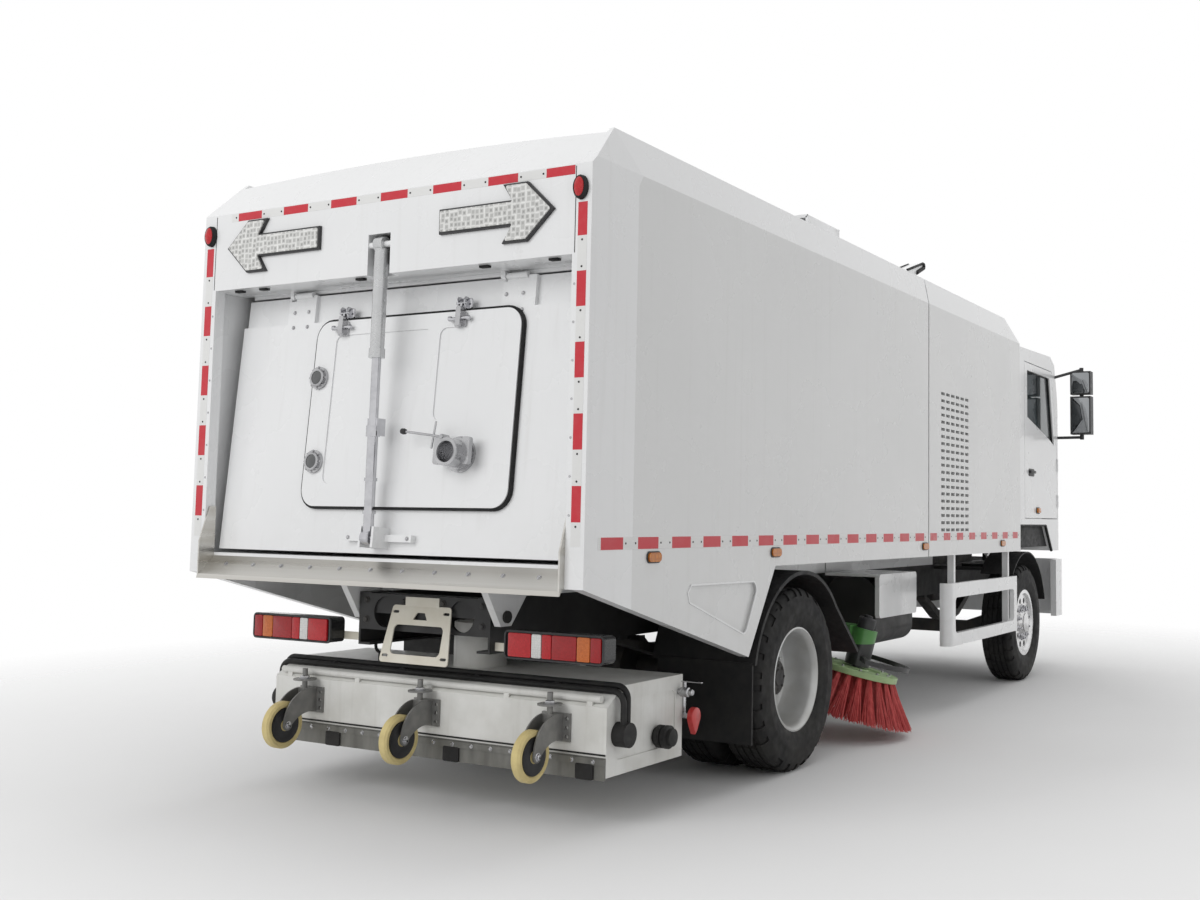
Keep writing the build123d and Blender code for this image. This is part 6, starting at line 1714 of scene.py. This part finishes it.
@dataclass
class RoofKit:
    """The open air duct with a black sheet inside as painted shade, and the scoop's black edges on the roof.
    """

    duct_x: Pair = (-1.520, -1.020)
    duct_y: Pair = (-1.000, -0.420)
    duct_z: Pair = (3.329, 3.402)
    wall: float = 0.020
    scoop: tuple[Pair, ...] = ((0.112, 3.320), (0.458, 3.432), (0.474, 3.400), (0.312, 3.332))
    scoop_y: Pair = (-1.060, -0.940)

    def build(self) -> None:
        """Build the roof's small pieces."""
        width = self.duct_y[1] - self.duct_y[0]
        height = self.duct_z[1] - self.duct_z[0]
        mouth = (self.duct_x[0], sum(self.duct_y) / 2, sum(self.duct_z) / 2)
        shell = Bench.plate("roof_duct", width, height, self.duct_x[1] - self.duct_x[0], 0.010,
                            wall=self.wall, soft=0.002)
        Bench.finish(shell, WHITE, "hopper", frame_matrix(mouth, (0, 1, 0), (1, 0, 0)))
        # Painted shade: a black sheet deep in the duct stands in for the dark inside of the open duct.
        back = Bench.block("roof_duct_back", (0.012, width - self.wall, height - self.wall),
                           (self.duct_x[1] - 0.030, *mouth[1:]))
        Bench.finish(back, RUBBER, "hopper")
        bars = []
        for y in self.scoop_y:
            spots = [Vector((x, y, z)) for x, z in self.scoop]
            for k, radius in enumerate((0.010, 0.016, 0.016)):
                bars.append(Bench.rod(f"scoop_edge_{k}", spots[k], spots[k + 1], radius))
        Bench.finish(Bench.join("scoop_edges", bars), RUBBER, "chassis")


@dataclass
class Pressings:
    """Raised lips round the pressed panels low on the hopper's sides."""

    corners: tuple[Pair, ...] = ((-3.686, 1.123), (-2.640, 1.113), (-2.800, 0.824))
    corner_radius: float = 0.050

    def build(self) -> None:
        """Build both lips."""
        for side in Side:
            lip = Bench.outline(f"pressing_lip_{side.word}", rounded(self.corners, self.corner_radius),
                                0.004, wall=0.009)
            Bench.place(lip, to_side(Side.RIGHT, 0.0, HALF, 0.0))
            if side is Side.LEFT:
                Bench.place(lip, FLIP)
            Bench.finish(lip, WHITE, "hopper")


@dataclass
class CabKit:
    """Handles, seals, indicators, wipers, mirror glass and trim of the cab."""

    mirror_y: float = 1.430
    handle_at: Pair = (3.060, 1.905)
    indicator_at: Pair = (3.280, 1.552)
    window: tuple[Pair, ...] = ((2.930, 2.420), (2.930, 2.860), (3.740, 2.860), (3.900, 2.200),
                                (3.700, 2.260))
    arch: tuple[Pair, ...] = ((X_CAB_REAR + 0.02, 1.414), (3.600, 1.414), (3.826, 1.162))
    screen_up: Triple = (-0.302, 0.0, 0.953)
    screen_out: Triple = (0.953, 0.0, 0.302)
    screen_foot: Triple = (4.215, 0.0, BELT)

    def build(self) -> None:
        """Build the cab's small pieces."""
        for side in Side:
            self.handle(side)
            self.indicator(side)
            self.mirrors(side)
            self.window_seal(side)
            self.arch_lip(side)
        self.wipers()
        self.bumper_strip()
        self.grille_screws()

    def wall(self, x: float, z: float, side: Side) -> Matrix:
        """A place on the cab's side wall that faces outwards."""
        return to_side(side, x, CAB_HALF, z)

    def handle(self, side: Side) -> None:
        """A pull handle over a recessed cup."""
        cup = Bench.plate(f"handle_cup_{side.word}", 0.190, 0.070, 0.004, 0.024, soft=0.001)
        grip = Bench.plate(f"handle_grip_{side.word}", 0.170, 0.026, 0.012, 0.010, soft=0.004)
        Bench.place(grip, Matrix.Translation((0, 0.006, 0.012)))
        feet = [Bench.block(f"handle_foot_{side.word}_{k}", (0.020, 0.022, 0.016),
                            (-0.070 + 0.140 * k, 0.006, 0.008)) for k in range(2)]
        handle = Bench.join(f"door_handle_{side.word}", [cup, grip, *feet])
        Bench.finish(handle, PLASTIC, f"cab_door_{side.word}", self.wall(*self.handle_at, side))

    def indicator(self, side: Side) -> None:
        """An amber side indicator on its dark base."""
        base = Bench.plate(f"indicator_base_{side.word}", 0.120, 0.062, 0.006, 0.020, soft=0.001)
        lens = Bench.plate(f"indicator_lens_{side.word}", 0.104, 0.046, 0.022, 0.016, soft=0.006)
        Bench.finish(base, PLASTIC, f"cab_door_{side.word}", self.wall(*self.indicator_at, side))
        Bench.finish(lens, AMBER_LENS, f"cab_door_{side.word}", self.wall(*self.indicator_at, side))

    def mirrors(self, side: Side) -> None:
        """Glass on the rear of both mirrors, in a thin lip."""
        for label, x, z, height in (("main", 4.000, BELT + 0.400, 0.350),
                                    ("wide", 4.005, BELT + 0.725, 0.205)):
            glass = Bench.plate(f"mirror_{label}_{side.word}", 0.176, height, 0.004, 0.022, soft=0.001)
            lip = Bench.plate(f"mirror_lip_{label}_{side.word}", 0.198, height + 0.024, 0.008, 0.030,
                              wall=0.012, soft=0.002)
            place = to_rear(x, side.value * self.mirror_y, z)
            Bench.finish(glass, MIRROR, "cab", place)
            Bench.finish(lip, PLASTIC, "cab", place)

    def window_seal(self, side: Side) -> None:
        """A rubber bead along the door window's edge."""
        y = side.value * (CAB_HALF - 0.022)
        bars = []
        for k, (x, z) in enumerate(self.window):
            far_x, far_z = self.window[(k + 1) % len(self.window)]
            bars.append(Bench.rod(f"seal_{side.word}_{k}", (x, y, z), (far_x, y, far_z), 0.010, 10))
        Bench.finish(Bench.join(f"window_seal_{side.word}", bars), RUBBER, f"cab_door_{side.word}")

    def arch_lip(self, side: Side) -> None:
        """A rubber lip along the wheel arch's edge, and a black sheet inside the arch as painted shade."""
        y = side.value * (CAB_HALF - 0.014)
        points = [Vector((x, y, z)) for x, z in self.arch]
        bars = [Bench.rod(f"arch_lip_{side.word}_{k}", points[k], points[k + 1], 0.013, 12) for k in range(2)]
        Bench.finish(Bench.join(f"arch_lip_{side.word}", bars), RUBBER, "cab")
        # Painted shade: a black sheet inside the arch stands in for the arch's shadow.
        shade_sheet = Bench.block(f"arch_liner_{side.word}", (1.230, 0.008, 0.230),
                            (3.180, side.value * 1.135, 1.322))
        Bench.finish(shade_sheet, RUBBER, "cab")

    def wipers(self) -> None:
        """Two wipers parked along the foot of the windscreen."""
        up = Vector(self.screen_up)
        out = Vector(self.screen_out)
        foot = Vector(self.screen_foot) + up * 0.03 + out * 0.016
        for k, y in enumerate((-0.55, 0.35)):
            start = foot + Vector((0, y, 0))
            end = start + up * 0.10 + Vector((0, 0.52, 0))
            arm = Bench.rod(f"wiper_arm_{k}", start, end, 0.008)
            blade = Bench.rod(f"wiper_blade_{k}", start + up * 0.06 + Vector((0, 0.12, 0)),
                              end + up * 0.06 + Vector((0, 0.22, 0)), 0.007)
            hub = Bench.lathe(f"wiper_hub_{k}", ((0.020, -0.016), (0.020, 0.008), (0.014, 0.014)), 18)
            Bench.place(hub, frame_matrix(start, (0, 1, 0), out))
            Bench.finish(Bench.join(f"wiper_{k}", [arm, blade, hub]), PLASTIC, "cab")

    def bumper_strip(self) -> None:
        """A black strip across the bumper's face."""
        strip = Bench.block("bumper_strip", (0.012, 1.300, 0.090), (X_CAB_FRONT + 0.074, 0.0, 1.020),
                            soft=0.004)
        Bench.finish(strip, PLASTIC, "chassis")

    def grille_screws(self) -> None:
        """Screws at the grille's corners."""
        places = [to_front(X_CAB_FRONT + 0.018, y, z)
                  for y in (-0.73, -0.25, 0.25, 0.73) for z in (1.352, 1.838)]
        Bench.copies("grille_screws", Bench.bolt("grille_screw", 0.008, 0.006), places, BRIGHT, "cab")


@dataclass
class Seats:
    """Padded cloth seats in the place of the plain ones."""

    rows: tuple[Pair, ...] = ((-0.600, 0.500), (0.0, 0.380), (0.600, 0.500))
    front: float = 2.860
    floor: float = 1.480
    lean: float = 11.5

    def pad(self, name: str, size: Triple, crown: float, channels: int) -> Piece:
        """A crowned pad with sewn channels across its width, about the origin.

        Args:
            name: The object's name.
            size: Length, width and thickness.
            crown: How far the middle swells.
            channels: Number of sewn channels.

        Returns:
            The pad.
        """
        pad = Bench.block(name, size, soft=min(size) * 0.28, steps=4)
        Bench.edit(pad)
        bpy.ops.mesh.subdivide(number_cuts=7)
        Bench.done()
        for vertex in pad.data.vertices:
            u, v = 2 * vertex.co.x / size[0], 2 * vertex.co.y / size[1]
            swell = max(0.0, 1 - u * u) * max(0.0, 1 - v * v)
            vertex.co.z += math.copysign(crown, vertex.co.z) * swell if vertex.co.z > -size[2] * 0.3 else 0.0
            vertex.co.x *= 1 - 0.035 * (1 - min(1.0, abs(v))) * abs(u)
            vertex.co.y *= 1 - 0.030 * (1 - min(1.0, abs(u))) * abs(v)
            if vertex.co.z > 0 and abs(u) < 0.8 and abs(v) < 0.86:
                phase = (u + 0.8) / 1.6 * channels
                seam = math.exp(-((phase - round(phase)) / 0.06) ** 2)
                vertex.co.z -= 0.012 * seam
        smooth = pad.modifiers.new("soften", "SUBSURF")
        smooth.levels = smooth.render_levels = 1
        Bench.take(pad)
        bpy.ops.object.modifier_apply(modifier=smooth.name)
        return pad

    def build(self) -> None:
        """Build three seats with bases."""
        bases = []
        for index, (y, width) in enumerate(self.rows):
            cushion = self.pad(f"seat_cushion_{index}", (0.500, width - 0.01, 0.130), 0.016, 4)
            Bench.place(cushion, Matrix.Translation((self.front + 0.255, y, self.floor + 0.342)))
            back = self.pad(f"seat_back_{index}", (0.640, width - 0.01, 0.105), 0.014, 5)
            lean = math.radians(90 + self.lean)
            Bench.place(back, Matrix.Translation((self.front + 0.005, y, self.floor + 0.735))
                        @ Matrix.Rotation(-lean, 4, "Y") @ Matrix.Rotation(math.pi, 4, "Z"))
            for pad in (cushion, back):
                Bench.finish(pad, CLOTH, "cab", angle=60.0)
            bases.append(Bench.block(f"seat_base_{index}", (0.390, width - 0.09, 0.272),
                                     (self.front + 0.240, y, self.floor + 0.138), soft=0.012))
        stand = Bench.finish(Bench.join("seat_bases", bases), PLASTIC, "cab")
        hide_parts("seats")


def main() -> None:
    """Load the frame and build every piece in order."""
    logging.basicConfig(level=logging.INFO, format="%(name)s: %(message)s")
    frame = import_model()
    bpy.context.scene.view_settings.view_transform = "Standard"
    Studio().build()
    Coachwork(frame["nodes"]).dress()
    for assembly in (Tapes(), TailDoor(), Lamps(), Wheels(), Brushes(), NozzleKit(), RearEnd(), RoofKit(),
                     Pressings(), CabKit(), Seats()):
        assembly.build()
        LOG.info("%s built", type(assembly).__name__)


if __name__ == "__main__":
    main()
